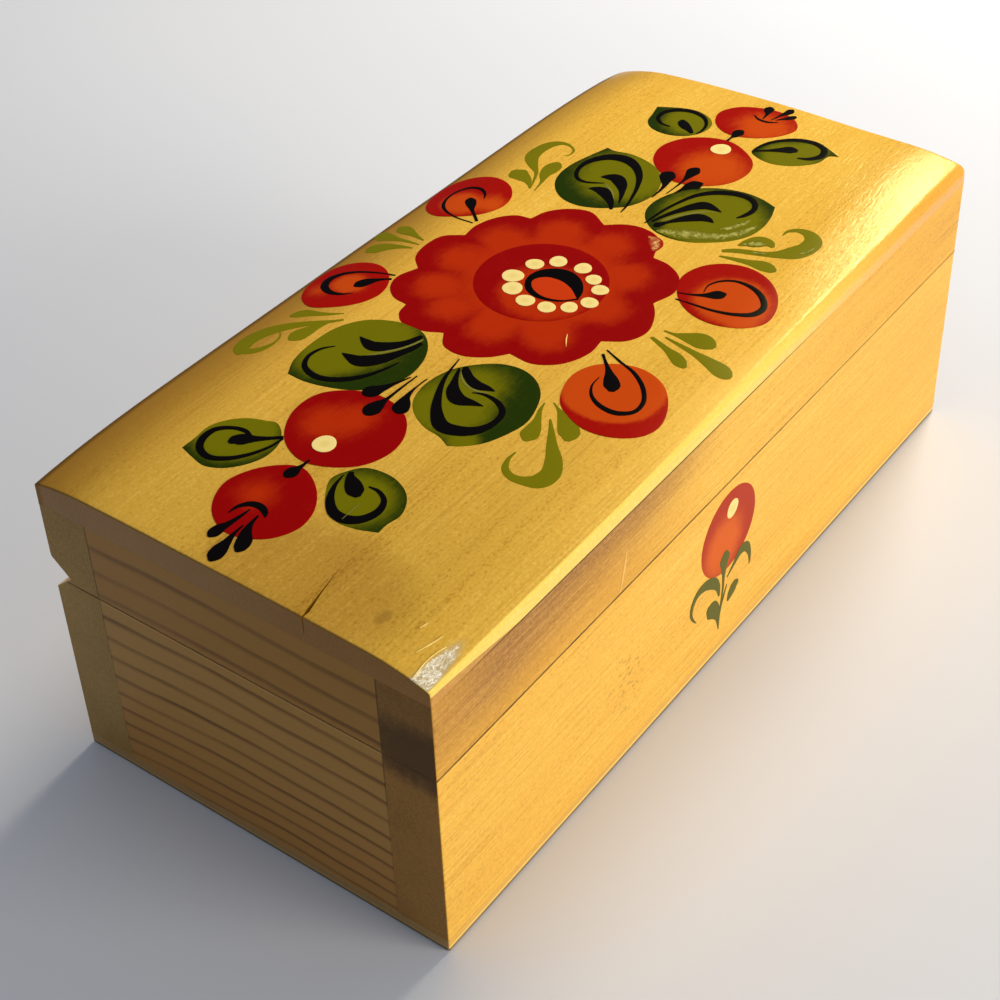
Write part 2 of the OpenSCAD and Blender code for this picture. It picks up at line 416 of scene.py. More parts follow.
def lid_top(material):
    """The domed slab: a fine grid over its top, straight sides down to the glue line."""
    xs = stations(-HALF_L, HALF_L, LEFT_TOP_R, WORN_CORNER_R, GRID_X)
    ys = stations(-HALF_W, HALF_W, FRONT_EDGE_R + FRONT_EDGE_GROWTH, WORN_CORNER_R, GRID_Y)
    x, y = np.meshgrid(xs, ys, indexing="ij")
    height = top_height(x, y)
    x, y = soften_corners(x, y)
    verts = np.stack([x, y, height], -1).reshape(-1, 3).tolist()
    faces, rim = grid_faces(*x.shape), grid_rim(*x.shape)
    count = len(rim)
    foot = range(len(verts), len(verts) + count)
    verts += [(verts[i][0], verts[i][1], GLUE_H) for i in rim]
    faces += [(rim[k], rim[(k + 1) % count], foot[(k + 1) % count], foot[k]) for k in range(count)]
    faces.append(tuple(foot))
    return new_piece("lid_top_slab", verts, faces, "lid", material, ["lid_top_panel"])


# A crack in from the left end of the top: place, half width and depth along it
CRACK = [
    (-101.0, -19.5, 0.15, 4.6), (-99.5, -19.35, 0.24, 4.0), (-98.3, -19.2, 0.6, 2.8),
    (-96.8, -18.9, 0.52, 2.4), (-93.6, -18.2, 0.28, 1.6), (-89.6, -17.4, 0.13, 0.9),
    (-85.5, -16.7, 0.04, 0.3),
]
# The wedge that cuts it starts above the crown, and its foot has this share of its width
CRACK_OVER = 3.0
CRACK_TAPER = 0.4


def crack_open(slab):
    """Cuts the crack into the slab with a wedge that narrows downwards and inwards."""
    verts, faces = [], []
    over = CROWN_H + CRACK_OVER
    for x, y, half, depth in CRACK:
        floor = float(top_height(np.array(x), np.array(y))) - depth
        foot = CRACK_TAPER * half
        verts += [(x, y - half, over), (x, y + half, over), (x, y + foot, floor), (x, y - foot, floor)]
    for i in range(0, len(verts) - 4, 4):
        faces += [(i + k, i + (k + 1) % 4, i + 4 + (k + 1) % 4, i + 4 + k) for k in range(4)]
    faces += [(0, 1, 2, 3), tuple(len(verts) - k for k in (1, 2, 3, 4))]
    subtract(slab, mesh_object("crack", verts, faces))


class Coat:
    """Closed films of one paint on one surface, kept as islands of a single mesh."""

    def __init__(self, surface, layer):
        self.surface = surface
        self.lift = layer * COAT
        self.verts, self.faces, self.glow = [], [], []

    def film(self, u, v, inset, faces, rim, glow):
        """Adds the upper and lower skin of a film and the wall along its rim."""
        thin = self.lift - COAT_EDGE * (1 - smoothstep(inset / COAT_ROUND))
        start, count = len(self.verts), len(u)
        for lift in (thin, np.full_like(u, -COAT_SUNK)):
            self.verts += self.surface(u, v, lift).tolist()
            self.glow += np.broadcast_to(glow(u, v), u.shape).tolist()
        upper = [tuple(start + i for i in face) for face in faces]
        self.faces += upper + [tuple(i + count for i in reversed(face)) for face in upper]
        walls = zip(rim, rim[1:] + rim[:1])
        self.faces += [(start + a, start + b, start + b + count, start + a + count) for a, b in walls]

    def blob(self, outline, glow=soft_discs(), centre=None, grain=0.9):
        """A filled shape whose whole outline can be seen from its centre."""
        outline = np.asarray(outline)[:, :2]
        centre = outline.mean(0) if centre is None else np.array(centre)
        reach = np.linalg.norm(outline - centre, axis=1)
        steps = max(3, math.ceil(reach.mean() / grain))
        inner = np.arange(1, steps) / steps * (1 - RING_GAP / steps)
        share = np.sort(np.concatenate([inner, [1 - RIM_RING / reach.mean(), 1]]))
        rings, count = len(share), len(outline)
        points = centre + share[:, None, None] * (outline - centre)
        inset = (1 - share)[:, None] * reach
        u = np.concatenate([[centre[0]], points[..., 0].ravel()])
        v = np.concatenate([[centre[1]], points[..., 1].ravel()])
        inset = np.concatenate([[reach.min()], inset.ravel()])
        faces = [(0, 1 + k, 1 + (k + 1) % count) for k in range(count)]
        for r in range(rings - 1):
            a, b = 1 + r * count, 1 + (r + 1) * count
            faces += [(a + k, b + k, b + (k + 1) % count, a + (k + 1) % count) for k in range(count)]
        rim = [1 + (rings - 1) * count + k for k in range(count)]
        self.film(u, v, inset, faces, rim, glow)

    def dot(self, x, y, radius):
        """A dab of paint, not quite round and brighter in its middle."""
        turn = np.linspace(0, 2 * math.pi, DOT_POINTS, endpoint=False)
        wobble = 1 + 0.03 * np.sin(2 * turn + x) + 0.02 * np.sin(3 * turn + y)
        outline = circle((x, y), radius * wobble, DOT_POINTS)
        self.blob(outline, soft_discs((x, y, 0.4 * radius, 0.3 * radius)), grain=0.4)

    def stroke(self, spine, columns=6, fade=0.0):
        """A brush stroke along a spine of places and half widths."""
        path = smooth_path(spine, BRUSH_STEP)
        width = np.maximum(path[:, 2], BRUSH_MIN)
        ahead = np.gradient(path[:, :2], axis=0)
        step = np.linalg.norm(ahead, axis=1)
        ahead /= np.maximum(step, 1e-9)[:, None]
        side = np.stack([-ahead[:, 1], ahead[:, 0]], -1)
        bend = np.einsum("ij,ij->i", np.gradient(ahead, axis=0), side) / np.maximum(step, 1e-6)
        across = np.linspace(-1, 1, columns)
        reach = across[None, :] * width[:, None]
        room = (BEND_SHARE / np.maximum(np.abs(bend), 1e-6))[:, None]
        inner = np.sign(reach) == np.sign(bend)[:, None]
        reach = np.where(inner & (np.abs(reach) > room), np.sign(reach) * room, reach)
        points = path[:, None, :2] + reach[..., None] * side[:, None, :]
        inset = (1 - np.abs(across))[None, :] * width[:, None]
        shape = len(path), columns
        glow = np.tile(1 - fade * across**2, len(path))
        u, v = points[..., 0].ravel(), points[..., 1].ravel()
        self.film(u, v, inset.ravel(), grid_faces(*shape), grid_rim(*shape), lambda *_: glow)

    def build(self, name, body, material):
        """Makes one piece of all the films."""
        piece = new_piece(name, self.verts, self.faces, body, material)
        layer = piece.data.attributes.new("glow", "FLOAT", "POINT")
        layer.data.foreach_set("value", self.glow)


# Materials

def srgb(red, green, blue):
    """A colour as it looks on screen, from 0 to 255, as the linear colour of a socket."""
    def linear(c):
        c /= 255
        return c / 12.92 if c <= 0.04045 else ((c + 0.055) / 1.055) ** 2.4
    return (linear(red), linear(green), linear(blue), 1.0)


class Graph:
    """A node material under construction: each method adds a node and returns its output."""

    def __init__(self, name):
        self.material = bpy.data.materials.new(name)
        self.material.use_nodes = True
        self.tree = self.material.node_tree
        self.shader = self.tree.nodes["Principled BSDF"]
        self.coords = self.tree.nodes.new("ShaderNodeTexCoord")
        self.place = self.vector("SCALE", self.coords.outputs["Object"], Scale=1 / MM)
        self.x, self.y, self.z = self.split(self.place)

    def put(self, socket, value):
        """Links an output to an input, or sets the input's value."""
        if isinstance(value, bpy.types.NodeSocket):
            self.tree.links.new(value, socket)
        else:
            socket.default_value = value

    def node(self, kind, inputs, output=0, **settings):
        node = self.tree.nodes.new(kind)
        for key, value in settings.items():
            setattr(node, key, value)
        for key, value in inputs.items():
            self.put(node.inputs[key], value)
        return node.outputs[output]

    def split(self, vector):
        node = self.tree.nodes.new("ShaderNodeSeparateXYZ")
        self.put(node.inputs[0], vector)
        return node.outputs[0], node.outputs[1], node.outputs[2]

    def facing(self, axis):
        """How far the surface faces along an axis, from -1 to 1."""
        return self.split(self.coords.outputs["Normal"])[axis]

    def vector(self, operation, a, b=(0, 0, 0), **named):
        return self.node("ShaderNodeVectorMath", {0: a, 1: b, **named}, operation=operation)

    def math(self, operation, a, b=0.0):
        return self.node("ShaderNodeMath", {0: a, 1: b}, operation=operation)

    def minus(self, a, b):
        return self.math("SUBTRACT", a, b)

    def size(self, value):
        return self.math("ABSOLUTE", value)

    def swing(self, noise, reach):
        """A noise value as a swing around zero."""
        return self.times(self.minus(noise, 0.5), reach)

    def total(self, *terms):
        result = terms[0]
        for term in terms[1:]:
            result = self.math("ADD", result, term)
        return result

    def times(self, *factors):
        result = factors[0]
        for factor in factors[1:]:
            result = self.math("MULTIPLY", result, factor)
        return result

    def ramp(self, value, low, high, to_low=0.0, to_high=1.0):
        """A smooth step from one value to another."""
        inputs = {0: value, 1: low, 2: high, 3: to_low, 4: to_high}
        return self.node("ShaderNodeMapRange", inputs, interpolation_type="SMOOTHSTEP")

    def mix(self, factor, a, b):
        return self.node("ShaderNodeMix", {0: factor, 6: a, 7: b}, 2, data_type="RGBA")

    def noise(self, stretch, detail=3.0, roughness=0.55, distortion=0.0):
        """Noise with so many waves to the millimetre along each axis."""
        inputs = {
            "Vector": self.vector("MULTIPLY", self.place, stretch),
            "Scale": 1.0,
            "Detail": detail,
            "Roughness": roughness,
            "Distortion": distortion,
        }
        return self.node("ShaderNodeTexNoise", inputs)

    def attribute(self, name):
        return self.node("ShaderNodeAttribute", {}, 2, attribute_name=name)

    def bump(self, height, depth):
        inputs = {"Height": height, "Distance": depth * MM, "Strength": 1.0}
        return self.node("ShaderNodeBump", inputs)

    def finish(self, colour, roughness, normal=None, metallic=0.0, shine=0.5):
        """Connects the shader and returns the finished material."""
        values = {"Base Color": colour, "Roughness": roughness, "Metallic": metallic}
        values["Specular IOR Level"] = shine
        for name, value in values.items():
            self.put(self.shader.inputs[name], value)
        if normal is not None:
            self.put(self.shader.inputs["Normal"], normal)
        return self.material


# Way of the grain: along the length or along the depth
LENGTHWISE, DEPTHWISE = 0, 1


def stretched(grain, along, across):
    """Noise stretch for wood whose grain runs lengthwise or depthwise."""
    return (along, across, across) if grain == LENGTHWISE else (across, along, across)


def wood_tone(g, grain, fibre, band, fleck):
    """Light and dark of bare wood, around 0.5: fibres, broad bands and flecks; then the fibres alone."""
    fibres = g.noise(stretched(grain, 0.025, 1.7), detail=4, roughness=0.6)
    bands = g.noise(stretched(grain, 0.004, 0.07), detail=3, distortion=0.3)
    flecks = g.noise(stretched(grain, 1.3, 1.9), detail=2)
    tone = g.total(0.5, g.swing(fibres, fibre), g.swing(bands, band), g.swing(flecks, fleck))
    return tone, fibres


def fine_streaks(g):
    """1 along fine dark streaks, which run lengthwise and come in patches."""
    lines = g.noise(stretched(LENGTHWISE, 0.03, 2.0), detail=3, roughness=0.6)
    patches = g.noise(stretched(LENGTHWISE, 0.015, 0.1), detail=2)
    return g.times(g.ramp(lines, 0.5, 0.66), g.ramp(patches, 0.35, 0.6, 0.25, 1.0))


def ellipse(g, a, b, centre, radii):
    """Squared distance from the middle of an ellipse, 1 on its rim."""
    off_a = g.math("DIVIDE", g.minus(a, centre[0]), radii[0])
    off_b = g.math("DIVIDE", g.minus(b, centre[1]), radii[1])
    return g.total(g.times(off_a, off_a), g.times(off_b, off_b))


def three_tones(g, tone, dark, middle, light):
    """Wood between a dark, a middle and a light colour, each given as it looks on screen."""
    low = g.mix(g.ramp(tone, 0.1, 0.5), srgb(*dark), srgb(*middle))
    return g.mix(g.ramp(tone, 0.5, 0.9), low, srgb(*light))


VARNISH_RELIEF = 0.016


def varnish_relief(g, grain, fibres, depth=0.6):
    """Shallow ripples of brushed varnish over the fibres."""
    ripples = g.noise(stretched(grain, 0.12, 0.55), detail=3, roughness=0.6)
    return g.total(g.times(fibres, depth), ripples)


def varnish_bump(g, grain, fibres):
    """That relief as a normal."""
    return g.bump(varnish_relief(g, grain, fibres), VARNISH_RELIEF)


def end_grain_share(g):
    """1 on the faces at both ends of the case."""
    return g.ramp(g.size(g.facing(0)), 0.6, 0.8)


def inward_share(g):
    """1 on the faces inside the case and on the saw cut, which carry no varnish."""
    flat_normal = g.vector("MULTIPLY", g.coords.outputs["Normal"], (1, 1, 0))
    outward = g.node("ShaderNodeVectorMath", {0: flat_normal, 1: g.place}, "Value", operation="DOT_PRODUCT")
    return g.ramp(outward, 12.0, 4.0)


def saw_cut_shade(g, colour):
    """Painted shade: darkens the wood along the saw cut between base and lid, less so to the right."""
    off = g.size(g.minus(g.z, SAW_CUT))
    uneven = g.ramp(g.noise((0.15, 0.15, 0.15), detail=2), 0.3, 0.7, 0.7, 1.0)
    # painted shade in the gap between lid and base
    cut_shade = g.times(g.ramp(off, 0.34, 0.16), uneven, g.ramp(g.x, -20.0, 60.0, 1.0, 0.5))
    return g.mix(cut_shade, colour, srgb(78, 50, 20))


# Dark, middle and light of wood without varnish
BARE = (196, 150, 92), (222, 182, 124), (236, 204, 152)


# Wood of the lid's top

TOP_SHINE = 0.35
# Middle and radii of marks on it: a painted glint at the near corner, a dark patch and a small knot
CORNER_GLINT = (-101.0, -44.5), (13.5, 2.1)
PATCH = (-92.0, -14.0), (17.0, 24.0)
KNOT = (-91.9, -30.7), (2.2, 1.2)


def top_ground(g, tone):
    """Gold wood that turns amber to the left, partly the varnish's colour and partly painted shade, with the
    patch, the knot and fine streaks.
    """
    gold = three_tones(g, tone, (210, 154, 46), (234, 182, 66), (247, 204, 90))
    # darker to the left: partly painted shade of light falling off away from the right
    amber = three_tones(g, tone, (180, 132, 34), (210, 164, 56), (228, 184, 78))
    colour = g.mix(g.ramp(g.x, 8.0, -100.0), gold, amber)
    patch = g.ramp(ellipse(g, g.x, g.y, *PATCH), 1.2, 0.2)
    brown = three_tones(g, tone, (148, 102, 24), (176, 130, 40), (196, 150, 56))
    colour = g.mix(g.times(patch, 0.75), colour, brown)
    knot = g.ramp(ellipse(g, g.x, g.y, *KNOT), 1.5, 0.1)
    colour = g.mix(g.times(knot, 0.38), colour, srgb(110, 74, 20))
    strength = g.times(g.ramp(g.x, 70.0, -50.0, 0.08, 0.3), g.ramp(g.x, -90.0, -65.0, 0.3, 1.0))
    return g.mix(g.times(fine_streaks(g), strength), colour, srgb(158, 108, 24))


def rim_shade_at_back(g):
    """Painted shade: high along the back edge of the top, apart from its right end."""
    return g.times(g.ramp(g.y, HALF_W - 2.3, HALF_W - 0.9), g.ramp(g.x, HALF_L - 0.5, HALF_L - 8.0), 0.8)


def top_back(g, colour):
    """A browner band along the back of the top, and painted shade along its rim."""
    upward = g.ramp(g.facing(2), 0.2, 0.6)
    start = g.ramp(g.x, -20.0, 60.0, 25.0, 33.0)
    band = g.times(g.ramp(g.y, start, HALF_W), g.ramp(g.x, 100.0, 0.0, 0.65, 1.0), upward, 0.9)
    colour = g.mix(band, colour, srgb(150, 104, 24))
    # painted shade along the back rim
    return g.mix(g.times(rim_shade_at_back(g), upward), colour, srgb(92, 62, 20))


def painted_corner_glint(g, colour):
    """Painted reflection at the near corner: a grey sheen with bright glints over rippled varnish; returns
    the colour and the relief.
    """
    glint_patch = g.ramp(ellipse(g, g.x, g.y, *CORNER_GLINT), 1.3, 0.45)
    ripples = g.noise((0.9, 2.3, 2.3), detail=4, roughness=0.65, distortion=1.2)
    # painted sheen and glints, standing in for the varnish's reflection
    colour = g.mix(g.times(glint_patch, 0.8), colour, srgb(172, 156, 118))
    glints = g.ramp(g.total(ripples, g.times(glint_patch, 0.32)), 0.7, 0.98)
    colour = g.mix(g.times(glints, g.ramp(glint_patch, 0.0, 0.2)), colour, srgb(252, 246, 228))
    return colour, g.times(ripples, glint_patch, 3.0)


def front_edge_highlight(g, tone, colour):
    """The front edge of the top: a pale painted highlight on the left, browner to the right and under the
    near corner.
    """
    edge = g.times(g.ramp(g.y, -43.5, -45.0), g.ramp(g.facing(2), 0.95, 0.82))
    # painted highlight: pale yellow on the rounding and the slab's front face
    pale = three_tones(g, tone, (234, 192, 78), (244, 209, 96), (250, 223, 120))
    brown = three_tones(g, tone, (168, 116, 46), (196, 140, 58), (214, 160, 74))
    over_glue = g.minus(g.minus(g.z, GLUE_H), g.ramp(g.x, -64.0, -103.0, -0.6, 2.3))
    left = g.mix(g.ramp(over_glue, 0.2, -0.1), pale, brown)
    right = three_tones(g, tone, (212, 148, 54), (226, 164, 66), (235, 178, 80))
    return g.mix(edge, colour, g.mix(g.ramp(g.x, 0.0, 90.0), left, right))


def top_wood():
    """Varnished pine of the lid's slab, with its brown ends, the crack and the bare underside."""
    g = Graph("varnished_top")
    tone, fibres = wood_tone(g, LENGTHWISE, fibre=0.6, band=0.6, fleck=1.0)
    colour, ripples = painted_corner_glint(g, top_back(g, top_ground(g, tone)))
    colour = front_edge_highlight(g, tone, colour)
    ends = end_grain_share(g)
    colour = g.mix(ends, colour, three_tones(g, tone, (128, 84, 12), (141, 95, 20), (154, 107, 30)))
    facing = g.facing(2)
    upright = g.ramp(g.size(facing), 0.8, 0.6)
    crack = g.times(upright, g.minus(1.0, ends), g.ramp(g.size(g.y), 42.0, 38.0))
    colour = g.mix(crack, colour, srgb(172, 124, 30))
    under = g.ramp(facing, -0.5, -0.8)
    colour = g.mix(under, colour, three_tones(g, tone, *BARE))
    roughness = g.total(g.ramp(g.x, -40.0, 30.0, 0.3, 0.12), g.times(under, 0.3), g.times(fibres, 0.08))
    grit = g.times(g.noise((0.35, 1.8, 1.8), detail=2), g.ramp(g.x, -20.0, 40.0, 2.0, 4.0))
    relief = g.total(varnish_relief(g, LENGTHWISE, fibres, 1.8), grit, ripples)
    shine = g.times(g.minus(1.0, rim_shade_at_back(g)), TOP_SHINE)
    return g.finish(colour, roughness, g.bump(relief, VARNISH_RELIEF), shine=shine)


# Wood of the long boards

BOARD_SHINE = 0.12
# Brown heartwood on the lid's front: heights at the place where it starts, and how it falls to the right
HEARTWOOD_START = -95.0
HEARTWOOD_LOW, HEARTWOOD_HIGH = 44.0, 60.0
HEARTWOOD_TILT = 0.12
# Middle and radii of the dark stain at the near left corner, and of the part of the front with the most pores
STAIN = (-43.0, 50.8), (16.0, 8.4)
PORES = (-40.0, 22.0), (7.0, 10.0)


def front_ground(g, tone, on_lid):
    """Gold wood with streaks and pores; the lid is browner on the left, and the right is deeper in colour."""
    colour = three_tones(g, tone, (218, 158, 56), (239, 184, 74), (246, 200, 92))
    colour = g.mix(g.times(fine_streaks(g), 0.34), colour, srgb(196, 134, 48))
    pitted = g.ramp(g.noise((0.9, 1.5, 1.5), detail=2), 0.54, 0.7)
    near_pores = g.ramp(ellipse(g, g.x, g.z, *PORES), 1.3, 0.2, 0.1, 0.52)
    colour = g.mix(g.times(pitted, near_pores), colour, srgb(150, 96, 30))
    left = g.times(g.ramp(g.x, -2.0, -50.0), on_lid, 0.8)
    colour = g.mix(left, colour, three_tones(g, tone, (190, 132, 42), (211, 152, 54), (224, 168, 68)))
    right = g.times(g.ramp(g.x, 10.0, 85.0), g.ramp(on_lid, 0.0, 1.0, 0.5, 1.0))
    return g.mix(right, colour, three_tones(g, tone, (208, 148, 42), (229, 170, 55), (238, 186, 72)))


def heartwood(g, tone, on_lid, colour):
    """The streaky brown heartwood along the upper edge of the lid's front."""
    streaks = g.noise((0.03, 1.2, 1.7), detail=4, roughness=0.65)
    wander = g.swing(g.noise((0.02, 0.02, 0.02)), 6.0)
    tilted = g.total(g.z, wander, g.times(g.minus(g.x, HEARTWOOD_START), -HEARTWOOD_TILT))
    share = g.times(
        g.ramp(tilted, HEARTWOOD_LOW, HEARTWOOD_HIGH),
        g.ramp(g.x, 8.0, -36.0),
        g.ramp(g.x, -78.0, -98.0, 1.0, 0.55),
        g.ramp(streaks, 0.3, 0.55, 0.6, 1.0),
        g.ramp(g.y, -30.0, -40.0),
        on_lid,
    )
    brown_tone = g.total(tone, g.swing(streaks, 1.4))
    brown = three_tones(g, brown_tone, (112, 72, 32), (156, 108, 54), (190, 140, 76))
    return g.mix(g.times(share, 0.95), colour, brown)


def glue_line(g, colour):
    """The dark line under the lid's top, which fades out to the right and at the left end."""
    off_glue = g.size(g.minus(g.z, GLUE_H))
    glue = g.times(g.ramp(off_glue, 0.5, 0.2), g.ramp(g.x, 50.0, 0.0), g.ramp(g.x, -98.0, -75.0))
    return g.mix(glue, colour, srgb(90, 56, 20))


def board_ends(g, tone):
    """End grain of the long boards: browner at the front, more so in the lid, with the stain there."""
    back = three_tones(g, tone, (134, 102, 44), (151, 117, 53), (166, 132, 64))
    lower = three_tones(g, tone, (134, 94, 38), (152, 107, 46), (166, 120, 54))
    upper = three_tones(g, tone, (110, 76, 30), (126, 88, 37), (140, 100, 44))
    front = g.mix(g.ramp(g.z, 50.0, 58.0), lower, upper)
    colour = g.mix(g.ramp(g.y, 0.0, -20.0), back, front)
    blotch = g.swing(g.noise((0.4, 0.4, 0.4)), 0.9)
    stain = g.ramp(g.total(ellipse(g, g.y, g.z, *STAIN), blotch), 1.3, 0.2)
    return g.mix(g.times(stain, g.ramp(g.x, -90.0, -98.0), 0.82), colour, srgb(66, 42, 15))


def board_wood():
    """Varnished pine of the long boards, with painted shade along the saw cut, and bare inside."""
    g = Graph("varnished_pine")
    tone, fibres = wood_tone(g, LENGTHWISE, fibre=1.3, band=0.8, fleck=1.0)
    on_lid = g.ramp(g.z, LID_BOTTOM - 0.06, LID_BOTTOM - 0.04)
    colour = heartwood(g, tone, on_lid, front_ground(g, tone, on_lid))
    colour = g.mix(end_grain_share(g), glue_line(g, colour), board_ends(g, tone))
    bare = inward_share(g)
    colour = g.mix(bare, saw_cut_shade(g, colour), three_tones(g, tone, *BARE))
    roughness = g.total(0.3, g.times(fibres, 0.12), g.times(bare, 0.28))
    return g.finish(colour, roughness, varnish_bump(g, LENGTHWISE, fibres), shine=BOARD_SHINE)


# Wood of the end boards and the bottom

# Growth rings of the end boards: spacing at the top and at the foot of the case, and where they bow highest
RING_TOP = 6.3
RING_BOTTOM = 3.4
RING_BOW_Y = -16.0


def late_wood(g):
    """1 in the dark part of each growth ring; the rings bow, wander and lie closer together below."""
    off = g.minus(g.y, RING_BOW_Y)
    bow = g.times(off, off, g.ramp(g.z, 5.0, 66.0, 0.0013, 0.0003))
    wander = g.swing(g.noise((0.02, 0.03, 0.05), detail=2), 2.2)
    height = g.total(g.z, bow, wander)
    slope = (RING_TOP - RING_BOTTOM) / GLUE_H
    stretch = g.math("LOGARITHM", g.total(1.0, g.times(height, slope / RING_BOTTOM)), math.e)
    phase = g.math("FRACT", g.total(g.times(stretch, 1 / slope), 0.5))
    return g.times(g.ramp(phase, 0.6, 0.84), g.ramp(phase, 0.99, 0.86))


def end_wood():
    """Pine of the end boards: growth rings, a pale line under the saw cut, painted shade along the cut and
    dark joints.
    """
    g = Graph("end_pine")
    tone, fibres = wood_tone(g, DEPTHWISE, fibre=0.6, band=0.4, fleck=0.4)
    base = three_tones(g, tone, (154, 112, 54), (170, 127, 64), (182, 139, 74))
    base = g.mix(g.times(g.ramp(g.z, 32.0, 8.0), 0.8), base, srgb(168, 117, 54))
    lid = three_tones(g, tone, (142, 100, 44), (158, 114, 52), (170, 126, 60))
    light = g.mix(g.ramp(g.z, LID_BOTTOM - 0.1, LID_BOTTOM), base, lid)
    late = late_wood(g)
    strength = g.ramp(g.noise((0.01, 0.02, 0.16), detail=2), 0.3, 0.7, 0.45, 1.0)
    colour = g.mix(g.times(late, strength), light, srgb(112, 75, 34))
    # a pale line just under the saw cut
    below_cut = g.minus(BASE_TOP, g.z)
    pale_line_under_cut = g.times(g.ramp(below_cut, 0.1, 0.2), g.ramp(below_cut, 0.6, 0.35), 0.6)
    colour = g.mix(pale_line_under_cut, colour, srgb(198, 156, 90))
    joint = g.ramp(g.size(g.y), INNER_W - 0.45, INNER_W - 0.1)
    colour = g.mix(g.times(joint, g.ramp(g.z, 20.0, 52.0, 0.25, 0.75)), colour, srgb(58, 38, 20))
    bare = inward_share(g)
    bare_rings = g.mix(g.times(late, 0.5), three_tones(g, tone, *BARE), srgb(*BARE[0]))
    colour = g.mix(bare, saw_cut_shade(g, colour), bare_rings)
    roughness = g.total(0.36, g.times(fibres, 0.12), g.times(bare, 0.22))
    return g.finish(colour, roughness, varnish_bump(g, DEPTHWISE, fibres), shine=BOARD_SHINE)


def bottom_wood():
    """Plywood of the bottom: a painted highlight line over a strip of painted shade around its edge, bare
    inside.
    """
    g = Graph("bottom_plywood")
    tone, fibres = wood_tone(g, LENGTHWISE, fibre=0.8, band=0.8, fleck=0.8)
    ends = end_grain_share(g)
    long_side = three_tones(g, tone, (206, 150, 58), (226, 172, 74), (238, 190, 92))
    end_side = three_tones(g, tone, (144, 108, 54), (158, 120, 62), (170, 132, 72))
    colour = g.mix(ends, long_side, end_side)
    # painted highlight along the edge
    painted_highlight_line = g.times(g.ramp(g.z, 0.8, 1.0), g.ramp(g.z, 1.9, 1.2), 0.7)
    colour = g.mix(painted_highlight_line, colour, g.mix(ends, srgb(254, 224, 132), srgb(178, 140, 78)))
    # painted shade on the lowest, rounded strip
    painted_shade_strip = g.ramp(g.z, 0.95, 0.75)
    colour = g.mix(painted_shade_strip, colour, g.mix(ends, srgb(146, 108, 46), srgb(96, 78, 44)))
    inside = g.ramp(g.facing(2), 0.6, 0.9)
    colour = g.mix(inside, colour, three_tones(g, tone, *BARE))
    return g.finish(colour, g.total(0.45, g.times(fibres, 0.15)), varnish_bump(g, LENGTHWISE, fibres))


# Paint and brass

PAINT_SHINE = 0.07
PAINT_ROUGHNESS = 0.26


def paint(name, deep, bright, brush=0.35):
    """Hand-laid paint under varnish: two colours blended by the mesh's glow and by brush marks."""
    g = Graph(name)
    strokes = g.noise((0.25, 0.25, 0.25), detail=4, roughness=0.6, distortion=1.2)
    bristles = g.noise((0.5, 1.6, 1.6), detail=3, roughness=0.6)
    grain = g.noise((0.12, 2.2, 2.2), detail=3, roughness=0.6)
    marks = g.swing(strokes, brush), g.swing(bristles, 0.6 * brush), g.swing(grain, 0.5 * brush)
    blend = g.ramp(g.total(g.attribute("glow"), *marks), 0.0, 1.0)
    colour = g.mix(blend, srgb(*deep), srgb(*bright))
    fibres = g.noise(stretched(LENGTHWISE, 0.025, 1.1), detail=4, roughness=0.6, distortion=0.3)
    roughness = g.total(PAINT_ROUGHNESS, g.times(strokes, 0.08))
    return g.finish(colour, roughness, varnish_bump(g, LENGTHWISE, fibres), shine=PAINT_SHINE)


def worn_paint(name, left, bare):
    """Paint rubbed through in small uneven spots, mostly along the middle of each stroke."""
    g = Graph(name)
    spots = g.noise((0.8, 0.8, 0.8), detail=4, roughness=0.7, distortion=0.8)
    shown = g.ramp(g.total(spots, g.times(g.attribute("glow"), 0.3)), 0.62, 1.0)
    colour = g.mix(shown, srgb(*left), srgb(*bare))
    return g.finish(colour, g.total(0.35, g.times(spots, 0.2)), g.bump(spots, 0.02), shine=PAINT_SHINE)


def brass(name, colour, dull, slot_shade_y=None):
    """Dulled brass; on screw heads a dark line of painted shade marks a slot along the length."""
    g = Graph(name)
    stains = g.noise((0.35, 0.35, 0.35), detail=5, roughness=0.65)
    scuffs = g.noise((2.5, 0.4, 2.5), detail=3)
    mixed = g.mix(g.ramp(stains, 0.35, 0.75), srgb(*colour), srgb(*dull))
    if slot_shade_y is not None:
        # painted shade where a slot would be
        mixed = g.mix(g.ramp(g.size(g.minus(g.y, slot_shade_y)), 0.32, 0.22), mixed, srgb(46, 34, 18))
    roughness = g.total(0.3, g.times(stains, 0.2), g.times(scuffs, 0.08))
    return g.finish(mixed, roughness, g.bump(scuffs, 0.004), metallic=0.7)


# Wooden boards

def back_outlines():
    """Outlines of the back boards in depth and height, below and above the saw cut, with the groove."""
    run = GROOVE_DEPTH / (GROOVE_DROP + GROOVE_LIFT)
    floor = box_mm("base_back_wall")[0][2]
    low_out = SAW_CUT - GROOVE_DROP
    below = [
        (INNER_W, floor),
        (HALF_W, floor),
        (HALF_W, low_out),
        (HALF_W - run * (BASE_TOP - low_out), BASE_TOP),
        (INNER_W, BASE_TOP),
    ]
    above = [
        (INNER_W, LID_BOTTOM),
        (HALF_W - run * (LID_BOTTOM - low_out), LID_BOTTOM),
        (HALF_W - GROOVE_DEPTH, SAW_CUT + GROOVE_LIFT),
        (HALF_W, SAW_CUT + GROOVE_RISE),
        (HALF_W, GLUE_H),
        (INNER_W, GLUE_H),
    ]
    return below, above


def leaf_recesses(body, low_z, high_z):
    """The blocks cut out of a back board for the two hinge leaves of its body."""
    blocks = []
    for side in SIDES:
        low, high = box_mm(f"{side}_hinge_{body}_leaf")
        start = np.array([low[0] - LEAF_GAP, low[1] - LEAF_GAP, low_z])
        blocks.append((start, np.array([high[0] + LEAF_GAP, HALF_W + CUT_PAST, high_z])))
    return blocks


